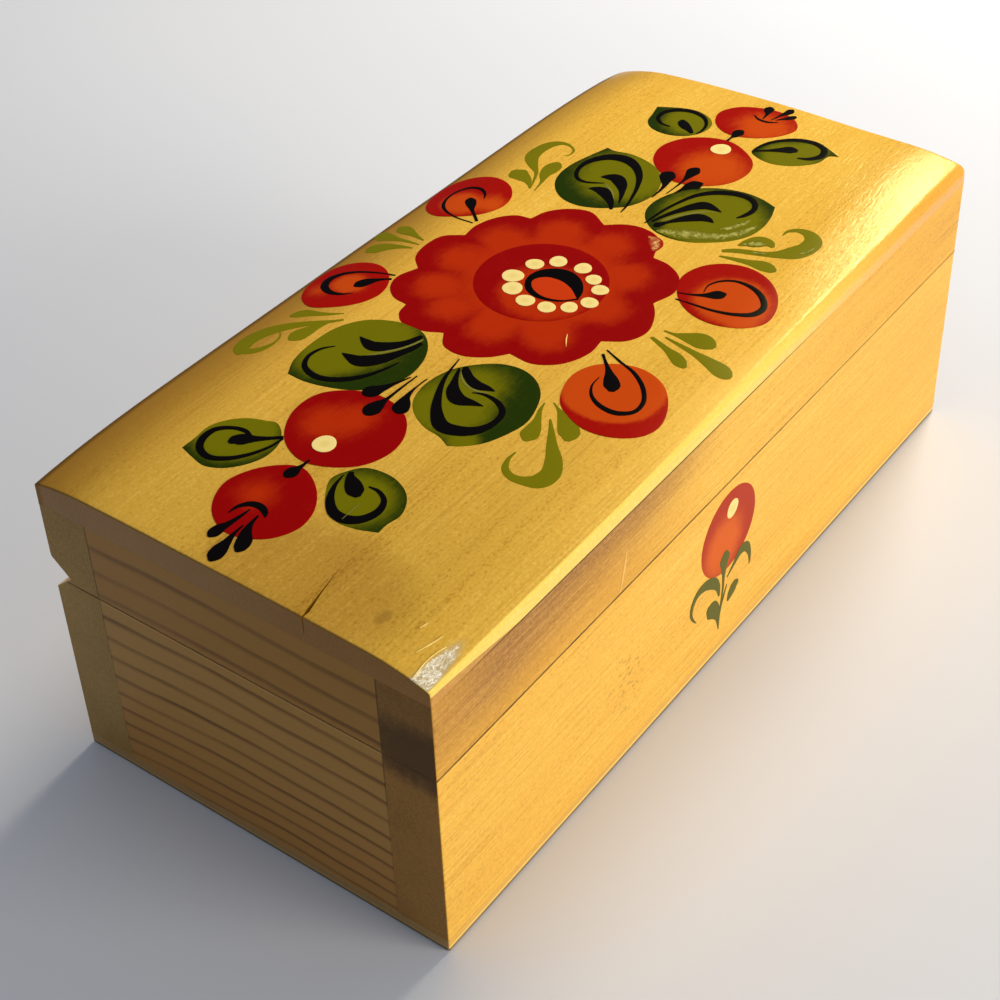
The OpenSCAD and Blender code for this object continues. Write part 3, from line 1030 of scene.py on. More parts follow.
def build_case():
    """All boards, the back ones with recesses for the hinge leaves, and the cracked slab on top."""
    pine, ends, ply = board_wood(), end_wood(), bottom_wood()
    below, above = back_outlines()
    low_cuts = leaf_recesses("base", BASE_TOP - LEAF_T - LEAF_SINK, BASE_TOP + CUT_PAST)
    high_cuts = leaf_recesses("lid", LID_BOTTOM - CUT_PAST, LID_BOTTOM + LEAF_T + LEAF_SINK)
    board("bottom_board", "bottom_panel", "base", ply)
    board("base_front_board", "base_front_wall", "base", pine, head=CUT_CLOSED)
    board("base_back_board", "base_back_wall", "base", pine, below, low_cuts)
    board("lid_front_board", "lid_front_rail", "lid", pine, foot=CUT_CLOSED)
    board("lid_back_board", "lid_back_rail", "lid", pine, above, high_cuts)
    for side in SIDES:
        board(f"base_{side}_board", f"base_{side}_end", "base", ends)
        board(f"lid_{side}_board", f"lid_{side}_end", "lid", ends)
    crack_open(lid_top(top_wood()))


def dress_hinges():
    """Gives the hinges' own solids their brass; the painted shade of the screws' slots lies in the middle of
    their heads.
    """
    screw_low, screw_high = box_mm("left_hinge_base_screws")
    leaf = brass("hinge_brass", (214, 178, 98), (168, 128, 62))
    screw = brass("screw_brass", (240, 212, 140), (206, 172, 104), (screw_low[1] + screw_high[1]) / 2)
    for name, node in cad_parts.items():
        if "hinge" in name:
            node.data.materials.clear()
            node.data.materials.append(screw if "screws" in name else leaf)


# The painting on the lid: places are x to the right and y to the back, spines end in a half width

HEART = (5.7, 4.9)
HEART_R = 14.3
PETALS = [
    [(-4.6, 29.7), (-1.5, 32.8), (3.0, 33.9), (8.2, 33.0), (11.3, 29.1)],
    [(11.3, 29.1), (15.5, 29.4), (20.5, 27.7), (23.8, 24.6), (24.6, 21.0)],
    [(24.6, 21.0), (29.0, 19.6), (32.6, 16.0), (34.0, 11.5), (31.2, 6.1)],
    [(31.2, 6.1), (33.8, 2.6), (34.9, -1.2), (33.6, -6.2), (26.5, -9.7)],
    [(26.5, -9.7), (26.1, -13.6), (23.3, -18.1), (18.2, -20.2), (12.4, -18.7)],
    [(12.4, -18.7), (9.0, -21.2), (3.2, -23.1), (-1.6, -21.4), (-4.7, -17.2)],
    [(-4.7, -17.2), (-9.5, -17.5), (-15.4, -15.0), (-18.8, -10.2), (-18.6, -4.5)],
    [(-18.6, -4.5), (-22.0, -1.6), (-24.6, 3.2), (-24.0, 8.0), (-20.4, 10.8)],
    [(-20.4, 10.8), (-22.3, 15.0), (-22.3, 20.0), (-19.8, 22.8), (-16.6, 23.5)],
    [(-16.6, 23.5), (-16.0, 27.2), (-13.2, 30.4), (-9.4, 31.4), (-4.6, 29.7)],
]
PETAL_SPOTS = soft_discs(
    (3.5, 24, 4.8, 3.6), (14, 21, 5, 3.6), (23, 12, 5.4, 3.6), (25.3, 0.5, 4.6, 3.6), (17.5, -8.5, 5, 3.6),
    (5, -11.5, 4.8, 3.6), (-9, -7, 5.2, 3.6), (-13.2, 4, 5.2, 3.6), (-12.5, 15, 4.4, 3.6),
    (-7.5, 22, 4.8, 3.6), (*HEART, 16.5, 3),
)
CREASE_W = 0.8
CREASE_DEPTH = 0.65
CREASE_START = -2.0


def petal_glow(u, v):
    """Orange of the petals, darkened along the creases that run in from their notches."""
    glow = PETAL_SPOTS(u, v)
    for notch in (np.array(run[0]) for run in PETALS):
        way = np.array(HEART) - notch
        length = np.hypot(*way)
        way /= length
        along = (u - notch[0]) * way[0] + (v - notch[1]) * way[1]
        off = (u - notch[0]) * way[1] - (v - notch[1]) * way[0]
        fade = 1 - smoothstep(along / (length - HEART_R))
        glow = glow * (1 - CREASE_DEPTH * fade * np.exp(-((off / CREASE_W) ** 2)) * (along > CREASE_START))
    return glow


HEART_GLOW = soft_discs((2.8, 1.8, 9.8, 2.6))
SEED_BLACK = [
    (4.4, -5.3), (1.5, -2.2), (0.2, 2.4), (1.5, 6.0), (5.0, 8.1), (8.6, 7.6), (11.4, 4.8), (12.1, 1.5),
    (10.6, -2.0), (7.6, -4.4), (4.4, -5.3),
]
SEED_RED = [
    (4.6, -4.8), (2.3, -2.4), (1.3, 1.4), (2.6, 5.0), (5.0, 6.5), (7.3, 5.0), (8.0, 1.8), (7.0, -1.6),
    (4.6, -4.8),
]
SEED_GLOW = soft_discs((4.6, 1, 50, 1))
DOTS = [
    (4.0, 11.0, 2.3), (10.1, 9.7, 1.95), (13.7, 6.1, 1.95), (14.5, 0.3, 1.9), (12.3, -3.9, 1.75),
    (9.9, -7.1, 1.8), (4.9, -7.8, 1.85), (1.2, -5.3, 1.8), (-1.4, -1.4, 1.9), (-1.9, 3.6, 2.0),
    (0.2, 8.4, 2.2), (-61.8, 7.6, 2.4), (72.5, 1.5, 2.3),
]

# Berries and rose hips: outline, and the soft spots where they are orange
BERRIES = [
    ([(-91.3, 5.8), (-88.2, 12.3), (-81, 15.7), (-73.8, 13), (-69.5, 7), (-72, 1.2), (-77.5, -3.2),
      (-83, -4.1), (-88.6, -1)],
     [(-80, 8.6, 3, 4.6)]),
    ([(-68, 7.2), (-65.2, 14.6), (-57.5, 19.2), (-50.3, 18.6), (-45.4, 13), (-44.1, 7), (-46.4, 0.2),
      (-51.8, -3.7), (-57.5, -4.3), (-63.6, -1.4)],
     [(-56.6, 11.4, 4.6, 4.8), (-52, 7.4, 3.6, 4.4)]),
]
HIPS = [
    ([(54.8, 2.8), (56.6, 8), (60.5, 12.2), (66, 13.7), (71.5, 11.7), (75.4, 7), (76.7, 1.5), (74.8, -3.6),
      (71.3, -7.7), (66.5, -9), (60.8, -7.4), (56.5, -2.8)],
     [(64, -1.5, 7.5, 4.5)]),
    ([(79.5, 4), (82, 8.6), (87, 10.7), (91.6, 8.4), (94.2, 3.6), (95, -1.8), (93.3, -6.3), (89.8, -8.4),
      (84.6, -6.1), (80.8, -1.4)],
     [(86.5, -1.5, 6, 4.5)]),
    ([(-27.9, 40), (-26.4, 43.6), (-22.8, 46), (-18, 46.6), (-13, 45.8), (-9.5, 42.8), (-8, 38.5),
      (-9, 34.6), (-12.5, 31.4), (-17, 30.4), (-21.6, 32), (-25.6, 35.6)],
     [(-17, 38.4, 3.6, 1.6), (-22, 43, 1.2, 3.4)]),
    ([(14.5, 39.5), (15.4, 42.8), (18.5, 45.2), (23.5, 46.2), (29, 45.2), (33, 42), (34.6, 38),
      (33.6, 33.5), (30.5, 30.3), (26, 29), (21.6, 30.3), (17.6, 33.6)],
     [(21.5, 37.6, 4.6, 2), (24.5, 31.5, 3, 3.2)]),
    ([(-18, -18.8), (-12.6, -20.2), (-9, -24.4), (-7.7, -29.5), (-9.5, -35), (-14, -39), (-20, -41),
      (-25, -39.8), (-28.9, -35.6), (-30, -30.4), (-28.6, -25.6), (-25.4, -21.4)],
     [(-16.4, -27.9, 10.5, 0.8)]),
    ([(24, -18.4), (29.5, -19.8), (33.3, -23.6), (34.7, -28.5), (33.6, -33.4), (30.4, -37.6), (25.6, -40.2),
      (20.4, -40.6), (16, -38), (13.4, -33.6), (13.2, -28.4), (15.2, -23.8), (19, -20.2)],
     [(22.3, -31.6, 8, 2), (17.5, -37, 3, 3)]),
]

# Leaves: outline from their corner, and the soft spots where they are olive
LEAVES = [
    ([(-48.6, 28.2), (-44.5, 30.2), (-38, 31), (-31, 30.2), (-26, 27.3), (-23, 22.5), (-22, 17),
      (-23.2, 13.4), (-26.2, 10.3), (-30.6, 8.2), (-36, 7.6), (-41.4, 9.5), (-45.3, 13.2), (-47.7, 18.6),
      (-48.8, 24), (-48.6, 28.2)],
     [(-32, 24, 10, 4), (-40, 25, 6.5, 3.5), (-27, 19, 5, 3)]),
    ([(-49, -11.9), (-47.7, -9), (-47, -5), (-45, -1), (-42, 1.8), (-37.5, 3.2), (-32.5, 2.9), (-28.5, 1.4),
      (-25, -1.5), (-22.3, -5.2), (-21.4, -9.5), (-22.6, -13.6), (-25.6, -17), (-30, -19.1), (-35, -20.1),
      (-40, -19), (-44.5, -17), (-47.5, -14.2), (-49, -11.9)],
     [(-39.5, -5, 8.5, 4), (-31, -5, 6, 5), (-46.5, -13.5, 3, 2)]),
    ([(59, 23.7), (58.7, 21.8), (59.5, 18), (59.2, 14), (57.6, 9.6), (54, 5.8), (48, 3.8), (43.6, 4.5),
      (40.2, 6.2), (37.6, 9), (35.6, 12.4), (34.6, 16), (35.2, 20), (37.3, 23.2), (40.6, 25.6),
      (44.6, 26.6), (49, 26.4), (54, 25.2), (59, 23.7)],
     [(50.5, 13.5, 10.5, 4.5)]),
    ([(58.4, -20.9), (54.5, -22.2), (49.5, -22.8), (45, -22), (41.6, -20), (38.4, -16.6), (36, -13),
      (34.8, -9), (35.1, -4.8), (36.6, -1.8), (39, 0.6), (42, 2), (45.4, 2.2), (49.4, 1.2), (53, -0.8),
      (56.4, -4.2), (58.7, -8.4), (59.8, -12.8), (59.6, -17), (58.4, -20.9)],
     [(46.5, -12, 11.5, 3.5)]),
    ([(-77.6, 29.6), (-74, 29.6), (-70, 29.8), (-66.4, 28), (-63.8, 25), (-62.5, 21.5), (-61.9, 19.6),
      (-63.4, 17), (-66.4, 14.9), (-71, 14.5), (-75, 16.2), (-78, 19), (-79.4, 22.4), (-78.7, 26),
      (-77.6, 29.6)],
     [(-68.5, 24, 8.5, 3)]),
    ([(-75.6, -16.6), (-77.2, -12.6), (-77.7, -8.6), (-76.3, -5), (-73, -2), (-68.8, 0.1), (-65.5, -1),
      (-62.8, -3.2), (-61.9, -7), (-62.5, -11), (-65, -14.8), (-69.5, -17), (-73, -16.5), (-75.6, -16.6)],
     [(-71, -7.5, 7.5, 3.5)]),
    ([(81.5, 24.5), (78, 23.6), (74.5, 22.7), (72.3, 20.5), (71.5, 17), (72.2, 13.5), (74.5, 10.4),
      (78, 8.9), (81.2, 9.2), (83.7, 11.4), (84.9, 15.5), (84, 19.5), (81.5, 24.5)],
     [(80, 14, 6.5, 3)]),
    ([(85, -22.2), (84, -20.4), (80, -19.6), (77, -17.3), (74.6, -14), (73.6, -10.5), (74.2, -7),
      (75.6, -4.8), (79, -4.8), (82.5, -6.2), (85.7, -9.2), (87.6, -13), (87.5, -16.6), (85, -22.2)],
     [(78.5, -13, 6.5, 3), (84, -16, 3.5, 2.5)]),
]

BLACK_STROKES = [
    # Upper left leaf
    [(-36.2, 26.2, 0.1), (-38.5, 28, 0.3), (-42, 28.5, 0.45), (-45, 26.8, 0.6), (-46.3, 23, 0.75),
     (-45.6, 20, 0.75), (-43.5, 17, 0.7), (-40.5, 14.6, 0.5), (-37, 13, 0.32), (-33.5, 11.9, 0.1)],
    [(-37.3, 23.5, 0.1), (-37.5, 21.6, 0.9), (-37.4, 18.8, 1.8), (-35, 16, 1.6), (-31.5, 14, 1.0),
     (-28, 12.6, 0.7), (-25.8, 12.2, 0.45)],
    [(-30.9, 24.1, 0.1), (-31.6, 22.2, 0.9), (-32, 19.8, 1.55), (-30.2, 17, 1.35), (-27.6, 14.9, 0.9),
     (-25, 13.9, 0.7), (-23.8, 13.7, 0.4)],
    # Lower left leaf
    [(-25.8, 2.7, 0.1), (-29, 2.1, 0.22), (-33, 1.1, 0.45), (-37.5, -1, 0.75), (-42, -4, 1.2),
     (-44.8, -7.5, 1.6), (-44.2, -11, 1.5), (-42, -13.8, 1.1), (-38.5, -15.1, 0.7), (-35, -14.6, 0.65),
     (-33, -12.3, 0.6), (-32.3, -9.2, 0.4), (-32.6, -7.3, 0.22), (-33.2, -6, 0.1)],
    [(-35.4, -10.3, 0.1), (-35.8, -8, 0.85), (-36.4, -5, 1.65), (-34.8, -2.6, 1.4), (-32, -0.9, 0.7),
     (-28.3, 0.8, 0.25)],
    [(-30.3, -9.4, 0.1), (-30.4, -7.6, 0.8), (-30.7, -5.3, 1.25), (-29.6, -2.6, 1.0), (-28.3, -0.9, 0.9),
     (-27.2, 0.1, 0.5)],
    # Upper right leaf
    [(45.7, 15.6, 0.1), (44.6, 17.5, 0.25), (43.7, 19.6, 0.35), (44, 21.8, 0.45), (46, 23.5, 0.5),
     (49.5, 24.2, 0.6), (53, 23.2, 0.9), (56, 20.5, 1.25), (56.8, 17, 1.4), (55.5, 13.8, 1.1),
     (52.5, 10.8, 0.8), (48.5, 8.7, 0.5), (44, 7.2, 0.35), (40.5, 6.3, 0.25), (37.5, 5.9, 0.1)],
    [(41.9, 17.4, 0.1), (42.4, 16.2, 0.8), (42.6, 14.2, 1.5), (41.3, 12, 1.2), (39.4, 9.8, 0.7),
     (37.4, 8.4, 0.35)],
    [(47.4, 17.8, 0.1), (48.2, 16.6, 0.9), (48.8, 14.6, 1.6), (47.2, 12.2, 1.4), (45, 10.5, 0.75),
     (42.5, 9.2, 0.4), (40.3, 8.3, 0.12)],
    # Lower right leaf
    [(36.8, -0.8, 0.12), (40, -1.1, 0.3), (44, -1.6, 0.35), (48.5, -2.7, 0.42), (52.5, -4.2, 0.6),
     (55.8, -7, 0.8), (58, -11, 0.85), (58.2, -14.5, 0.8), (56.8, -16.8, 0.7), (54.3, -17.7, 0.65),
     (51.5, -17.1, 0.5), (49.8, -16.2, 0.15)],
    [(49.9, -12.3, 0.1), (50.2, -10.3, 0.8), (50.1, -7.9, 1.45), (48.2, -6.1, 1.2), (45, -4.3, 0.75),
     (41.5, -2.8, 0.5), (38.2, -1.8, 0.3)],
    [(45.3, -13.1, 0.1), (45.7, -11.5, 0.9), (45.4, -9.6, 1.4), (43.6, -7.6, 1.2), (41.5, -5.9, 0.75),
     (39.5, -4.6, 0.45), (37.4, -3.2, 0.9), (37.2, -2.8, 0.4)],
    # Small leaves
    [(-65, 15.2, 0.2), (-68, 15.6, 0.3), (-72, 17.3, 0.45), (-75.3, 20, 0.6), (-77, 23.3, 0.7),
     (-76, 26.5, 0.75), (-73.3, 28.2, 0.8), (-70, 28, 0.65), (-67.8, 25.5, 0.5), (-67.2, 22.8, 0.5),
     (-67.8, 20.8, 0.3)],
    [(-71.7, 23, 0.4), (-70.6, 22.7, 1.3), (-69.3, 21.4, 1.6), (-68, 19.6, 0.9), (-66.4, 17.5, 0.5),
     (-64.6, 15.4, 0.4)],
    [(-66.8, -1.2, 0.1), (-70, -1.8, 0.4), (-73.5, -3.6, 0.8), (-76, -6.5, 1.1), (-76.2, -9.5, 1.2),
     (-74.5, -11.9, 1.0), (-71.2, -13, 0.8), (-68.2, -12, 0.55), (-66.7, -9.5, 0.4), (-66.7, -7.2, 0.15)],
    [(-65.2, -1.9, 0.4), (-66.3, -2.5, 0.8), (-67.8, -4.3, 1.6), (-69.3, -6.2, 1.6), (-70.1, -7.4, 0.5)],
    [(75, 16.9, 0.2), (75.2, 19.3, 0.35), (77, 21.4, 0.5), (80, 21.6, 0.6), (82.6, 19.6, 0.7),
     (83.9, 16, 0.7), (83, 12.5, 0.55), (80.5, 10.3, 0.4), (77.5, 9.6, 0.3), (75.5, 9.9, 0.15)],
    [(79.3, 16, 0.4), (78.4, 15.5, 1.1), (77.2, 14.1, 1.25), (76.2, 12.3, 0.8), (75.2, 11, 0.4)],
    [(75.8, -4.9, 0.2), (79.5, -5.6, 0.35), (83, -7.4, 0.5), (86, -11, 0.7), (87, -15, 0.75),
     (85.8, -18, 0.8), (83, -18.9, 0.8), (80.3, -17.3, 0.6), (79, -14.8, 0.2)],
    [(76.2, -5.2, 0.2), (78, -7.5, 0.4), (79.8, -9.8, 0.9), (81.3, -11.9, 1.35), (81.7, -13.4, 0.5)],
    # Drops between the left berries and the flower, between the berries, and at the left end
    [(-36, 7, 0.1), (-39.5, 8.3, 0.35), (-42, 9.4, 1.0), (-44, 10.4, 1.8), (-45.4, 11, 1.2),
     (-45.9, 11.2, 0.3)],
    [(-35, 6.2, 0.1), (-40, 6.4, 0.25), (-44.5, 6.5, 0.5), (-46.5, 6.7, 1.35), (-48.6, 6.8, 1.85),
     (-50.2, 6.8, 1.0), (-50.6, 6.8, 0.3)],
    [(-34.7, 4, 0.1), (-38.5, 4.1, 0.2), (-41.5, 3.7, 0.7), (-43.5, 3, 1.5), (-45.4, 2.4, 1.7),
     (-46.5, 2.2, 0.9), (-46.8, 2.2, 0.3)],
    [(-67, 6.9, 0.25), (-68.5, 6.9, 0.3), (-69.8, 7, 0.6), (-71.2, 7.2, 1.3), (-72.7, 7.3, 1.2),
     (-73.5, 7.3, 0.4)],
    [(-93.9, 7.8, 0.3), (-93, 7.8, 1.1), (-91.3, 7.7, 1.2), (-89.3, 7.2, 0.7), (-86.5, 6.8, 0.4),
     (-84, 6.6, 0.15)],
    [(-98.6, 3.2, 0.3), (-97.4, 3.4, 1.35), (-95.3, 3.8, 1.5), (-93.2, 4.1, 0.9), (-91, 4.5, 0.45),
     (-88, 4.7, 0.15)],
    [(-94.1, 1, 0.3), (-93.1, 1.1, 1.15), (-91.2, 1.7, 1.5), (-89.3, 2.9, 1.1), (-87, 3.8, 0.5),
     (-84.5, 4.2, 0.2)],
    [(-87, 9.3, 0.12), (-84.7, 9, 0.45), (-82.8, 7.5, 0.75), (-82.4, 5.5, 0.8), (-83.2, 3.7, 0.6),
     (-84.2, 2.9, 0.2)],
    # The same on the right
    [(46.5, 3.6, 0.1), (50, 3.6, 0.3), (52.5, 4, 0.6), (54.5, 4.9, 1.4), (56.2, 5.4, 1.9), (57.6, 5.3, 1.0),
     (58, 5.2, 0.3)],
    [(49.5, 1.7, 0.08), (53, 1.5, 0.15), (56.5, 1.4, 0.4), (58.7, 1.5, 1.0), (60.9, 1.6, 1.55),
     (62.3, 1.4, 0.8), (62.7, 1.3, 0.25)],
    [(50.5, 0.4, 0.1), (53, -0.3, 0.5), (55, -1, 1.3), (56.4, -1.9, 1.6), (57.3, -2.7, 0.7),
     (57.5, -3, 0.25)],
    [(76.7, 2.3, 0.3), (78.6, 2.3, 0.3), (79.8, 2.1, 0.9), (81, 2, 1.35), (82.1, 1.7, 1.0),
     (82.6, 1.4, 0.3)],
    [(95.9, 1.9, 0.3), (95.2, 1.7, 1.1), (94, 1.4, 1.15), (92.6, 0.9, 0.5), (90, 0.6, 0.15)],
    [(97.6, -3.3, 0.3), (96.9, -3.1, 0.9), (95.6, -2.8, 0.8), (93.2, -2, 0.35), (90.5, -1.3, 0.12)],
    [(95.2, -5.4, 0.3), (94.5, -5, 0.75), (93.4, -4.3, 0.7), (92.2, -3.2, 0.35), (91, -2.2, 0.12)],
    [(90.5, 3.2, 0.12), (89.3, 1.5, 0.35), (89.2, -1, 0.4), (90.4, -3.3, 0.15)],
    # Loops and drops of the rose hips
    [(-9.4, 32, 0.15), (-10.8, 36, 0.3), (-12.6, 40, 0.4), (-14.8, 42.6, 0.6), (-17.6, 43.6, 0.85),
     (-20.3, 42.5, 0.9), (-21.6, 39.8, 0.7), (-20.9, 37, 0.35), (-19.4, 35.4, 0.1)],
    [(-17.4, 36.8, 0.3), (-16.4, 36.4, 1.2), (-14.8, 35.6, 1.3), (-12.8, 34, 0.55), (-10.9, 31.8, 0.25)],
    [(16.1, 30.6, 0.12), (16, 35, 0.16), (16.9, 38.4, 0.35), (18.8, 40.8, 0.42), (22, 42.2, 0.32),
     (25.6, 42, 0.32), (28.2, 40.2, 0.5), (28.7, 37.8, 0.5), (27.4, 35.6, 0.32), (25.4, 34.4, 0.1)],
    [(17.2, 30.3, 0.35), (18.4, 31.6, 0.32), (20.3, 33.9, 0.5), (22.2, 35.6, 1.2), (23.6, 36.8, 1.15),
     (24.4, 37.4, 0.3)],
    [(-6.5, -19.8, 0.12), (-8.4, -24.6, 0.28), (-9.8, -28.4, 0.45), (-12.8, -32.4, 0.5),
     (-16.6, -34.9, 0.48), (-20, -35, 0.5), (-22.3, -32.6, 0.7), (-22.4, -29, 0.6), (-20.8, -25.8, 0.4),
     (-18, -23.9, 0.22), (-14.8, -23.5, 0.08)],
    [(-8.1, -19.9, 0.3), (-9.8, -21.6, 0.3), (-12.2, -24, 0.7), (-14.3, -25.9, 1.5), (-16, -27.3, 1.6),
     (-17.4, -28, 0.5)],
    [(16.3, -21.6, 0.12), (16.6, -25.6, 0.3), (17.2, -30.4, 0.42), (18.6, -34.4, 0.55), (21, -37.3, 0.7),
     (24.2, -37.9, 0.7), (27, -36, 0.75), (28.8, -32.4, 0.6), (28.8, -28.6, 0.4), (27, -26, 0.32),
     (24.2, -24.7, 0.2), (21.4, -25.2, 0.08)],
    [(18.4, -20.9, 0.2), (19.4, -23.6, 0.32), (20.8, -26, 0.7), (22, -27.6, 1.4), (23, -28.6, 1.3),
     (23.8, -29.3, 0.3)],
]

VEINS = [
    [(-35.3, 19, 0.08), (-32.5, 16.7, 0.3), (-29.5, 14.7, 0.35), (-26.5, 13.3, 0.35), (-24.6, 12.7, 0.15)],
    [(-31.2, -9, 0.08), (-32.1, -7, 0.25), (-32.1, -4.5, 0.3), (-31, -2, 0.25), (-29, -0.2, 0.12)],
    [(45.6, 16, 0.08), (44.7, 14, 0.25), (43, 11.8, 0.3), (41, 10.2, 0.15)],
    [(49.4, -11.6, 0.08), (47.6, -8.8, 0.3), (45, -6.5, 0.35), (42, -4.5, 0.3), (39.5, -3.3, 0.15)],
]

SPRIGS = [
    # Back
    [(-4.9, 43.6, 0.4), (-3.7, 43.3, 1.7), (-1.8, 41.8, 1.7), (-0.4, 39.4, 1.0), (0.5, 37.2, 0.5),
     (1, 35.5, 0.2)],
    [(2.3, 46.7, 0.8), (2.3, 45.2, 2.0), (2.4, 43, 1.4), (2.5, 40.5, 0.7), (2.7, 38, 0.45),
     (2.8, 35.1, 0.15)],
    [(7.4, 44, 0.4), (6.8, 43, 1.5), (6.3, 41.3, 1.6), (5.7, 39, 0.9), (5.1, 37, 0.45), (4.7, 35.4, 0.2)],
    # Front
    [(2.3, -24.7, 0.4), (1.5, -27, 0.6), (0.6, -29.5, 0.8), (-0.4, -32, 1.4), (-1.6, -34, 1.4),
     (-2.3, -35.5, 0.5)],
    [(3.9, -27, 0.25), (3.3, -31, 0.55), (2.7, -35, 0.9), (2.2, -38.5, 1.6), (1.8, -41.5, 2.1),
     (1.7, -43.2, 1.4), (1.7, -43.8, 0.5)],
    [(5.6, -25.6, 0.25), (5.8, -28, 0.5), (6.4, -30.5, 1.5), (7, -33.3, 2.5), (6.9, -35.7, 1.8),
     (6.7, -36.8, 0.6)],
    # Back left
    [(-28, 30.8, 0.25), (-30.5, 33.2, 0.6), (-33.2, 36.3, 0.9), (-36.2, 39.4, 1.3), (-39.7, 41.9, 1.7),
     (-43.5, 43, 1.8), (-46.8, 42.4, 1.7), (-48.8, 41.2, 0.5)],
    [(-47.6, 41.6, 1.0), (-46.3, 39.4, 0.95), (-44.2, 38.1, 0.65), (-41.7, 37.6, 0.32), (-39.6, 38.1, 0.22),
     (-38.2, 39.3, 0.1)],
    [(-39.7, 35.6, 0.4), (-38.2, 35.3, 1.7), (-35.5, 34.6, 1.6), (-33, 33.9, 0.9), (-30.5, 33, 0.4)],
    [(-32.7, 41.5, 0.3), (-31.6, 40.6, 1.1), (-30.2, 39.1, 1.3), (-29.2, 36.8, 0.8), (-28, 34.6, 0.45),
     (-26.2, 32.2, 0.15)],
    # Back right
    [(34.7, 28.4, 0.12), (38, 29.7, 0.28), (41.2, 31.3, 0.5), (43.6, 33.9, 1.2), (46.5, 36.2, 1.7),
     (50, 36.6, 1.6), (53.3, 35.6, 1.3), (55.1, 33.6, 0.7), (55, 31.3, 0.35), (53.6, 29.5, 0.28),
     (51.6, 29.3, 0.2), (50.6, 30, 0.08)],
    [(39.3, 36.3, 0.6), (38.6, 34.8, 2.3), (38, 33, 1.9), (37.2, 31, 1.1), (35.8, 29.4, 0.4),
     (34.7, 28.6, 0.12)],
    [(47.5, 29.4, 0.5), (46.2, 29.3, 1.6), (44, 29.3, 1.9), (41.5, 29.1, 1.3), (38.5, 27.9, 0.4),
     (34.5, 27.1, 0.12)],
    # Front left
    [(-31.2, -23.2, 0.2), (-34, -25.4, 0.6), (-37.5, -28, 1.1), (-41, -30.8, 1.7), (-44.5, -32.4, 2.0),
     (-47.3, -31.8, 2.0), (-48.9, -29.3, 1.2), (-49.2, -26.8, 0.9), (-48, -24.7, 0.75),
     (-45.5, -23.6, 0.42), (-43, -23.5, 0.15)],
    [(-39.4, -22.9, 0.4), (-37.8, -22.7, 1.8), (-35.5, -22.2, 1.6), (-32.8, -21.3, 0.8), (-30, -20, 0.4),
     (-27.6, -19.4, 0.12)],
    [(-34.8, -29.5, 0.5), (-33, -28.8, 2.0), (-30.9, -27, 2.0), (-29, -24.7, 1.2), (-27.8, -22.8, 0.4),
     (-26.6, -20.8, 0.12)],
    # Front right
    [(35, -20.8, 0.3), (35.7, -23.5, 0.6), (36.5, -27, 1.0), (37.1, -30.3, 1.8), (37, -32.5, 1.3),
     (37.1, -33.5, 0.4)],
    [(37, -20.2, 0.5), (38.5, -22.2, 0.8), (39.8, -25, 0.9), (41, -28, 0.9), (42.5, -30.5, 1.3),
     (45, -33, 2.2), (48.3, -34.5, 2.1), (51.5, -34.3, 2.0), (53.3, -32.2, 1.4), (53.2, -29.6, 0.8),
     (51.6, -28, 0.42), (49.7, -27.8, 0.15)],
    [(40.8, -22, 0.3), (42.8, -23.2, 1.3), (44.8, -25.2, 2.0), (45.2, -27, 1.4), (44.4, -28.5, 0.4)],
]

# Where the paint is rubbed thin: along the lower right leaf, on the sprig beside it and on one petal
RUBBED = [
    [(35.6, -4.6, 0.3), (36.6, -6.6, 1.5), (37.7, -9.4, 2.2), (39, -12.6, 1.9), (40.4, -15.4, 1.5),
     (42, -17.6, 1.5), (44, -19.4, 1.4), (46.6, -20.6, 1.1), (49.5, -21.4, 0.4)],
    [(43.6, -15.2, 0.2), (45.4, -17, 0.9), (48, -18.4, 0.9), (50.6, -19.2, 0.2)],
    [(41.6, -22.6, 0.2), (42.8, -24, 1.1), (44, -25.6, 1.1), (44.6, -27, 0.3)],
    [(40.2, -26, 0.2), (40.9, -27.6, 0.5), (41.6, -29.2, 0.2)],
    [(45.4, -34.2, 0.15), (47.2, -35.3, 0.4), (49.6, -35.8, 0.15)],
]
CHIPPED = [(32.8, -4.2, 0.3), (32.3, -6, 1.4), (31, -7.4, 1.6), (28.6, -8.2, 0.6)]

# The small spray on the front of the base: x to the right and z up
BALL = (-1.6, 33.8)
BALL_R = 10.7
BALL_GLOW = soft_discs((-3.5, 31, 7, 4))
BALL_DOT = (-0.5, 39.2, 2.2)
FRONT_LEAVES = [
    [(-2.5, 28.8, 0.6), (-2.6, 26.8, 2.0), (-2.7, 24.5, 1.2), (-2.7, 21.5, 0.5), (-2.8, 17.6, 0.35),
     (-3.6, 13, 0.2)],
    [(-4.2, 17.4, 0.3), (-5, 20.5, 0.9), (-7, 23, 1.4), (-10, 24.6, 1.3), (-13, 24.7, 1.0), (-15, 23, 0.7),
     (-15.5, 20.3, 0.45), (-14.3, 17.8, 0.25), (-13.3, 16.6, 0.08)],
    [(-1.2, 20.4, 0.15), (1.5, 22.3, 0.6), (4.2, 24.2, 1.3), (6.4, 23.6, 1.2), (7.9, 21, 0.7),
     (8.3, 18.8, 0.4), (8.2, 17.3, 0.1)],
    [(-8.9, 16.7, 0.6), (-7.4, 15.7, 2.1), (-5.6, 13.8, 1.8), (-4.4, 11.3, 0.9), (-4, 9, 0.4),
     (-3.8, 7.2, 0.12)],
    [(3.8, 15.7, 0.5), (2.3, 15.6, 1.5), (0.8, 14.4, 1.4), (-0.4, 12.9, 0.4)],
    [(-1.1, 18.4, 0.15), (-2, 16.4, 0.3), (-3.2, 13.2, 0.25), (-3.9, 9, 0.1)],
]

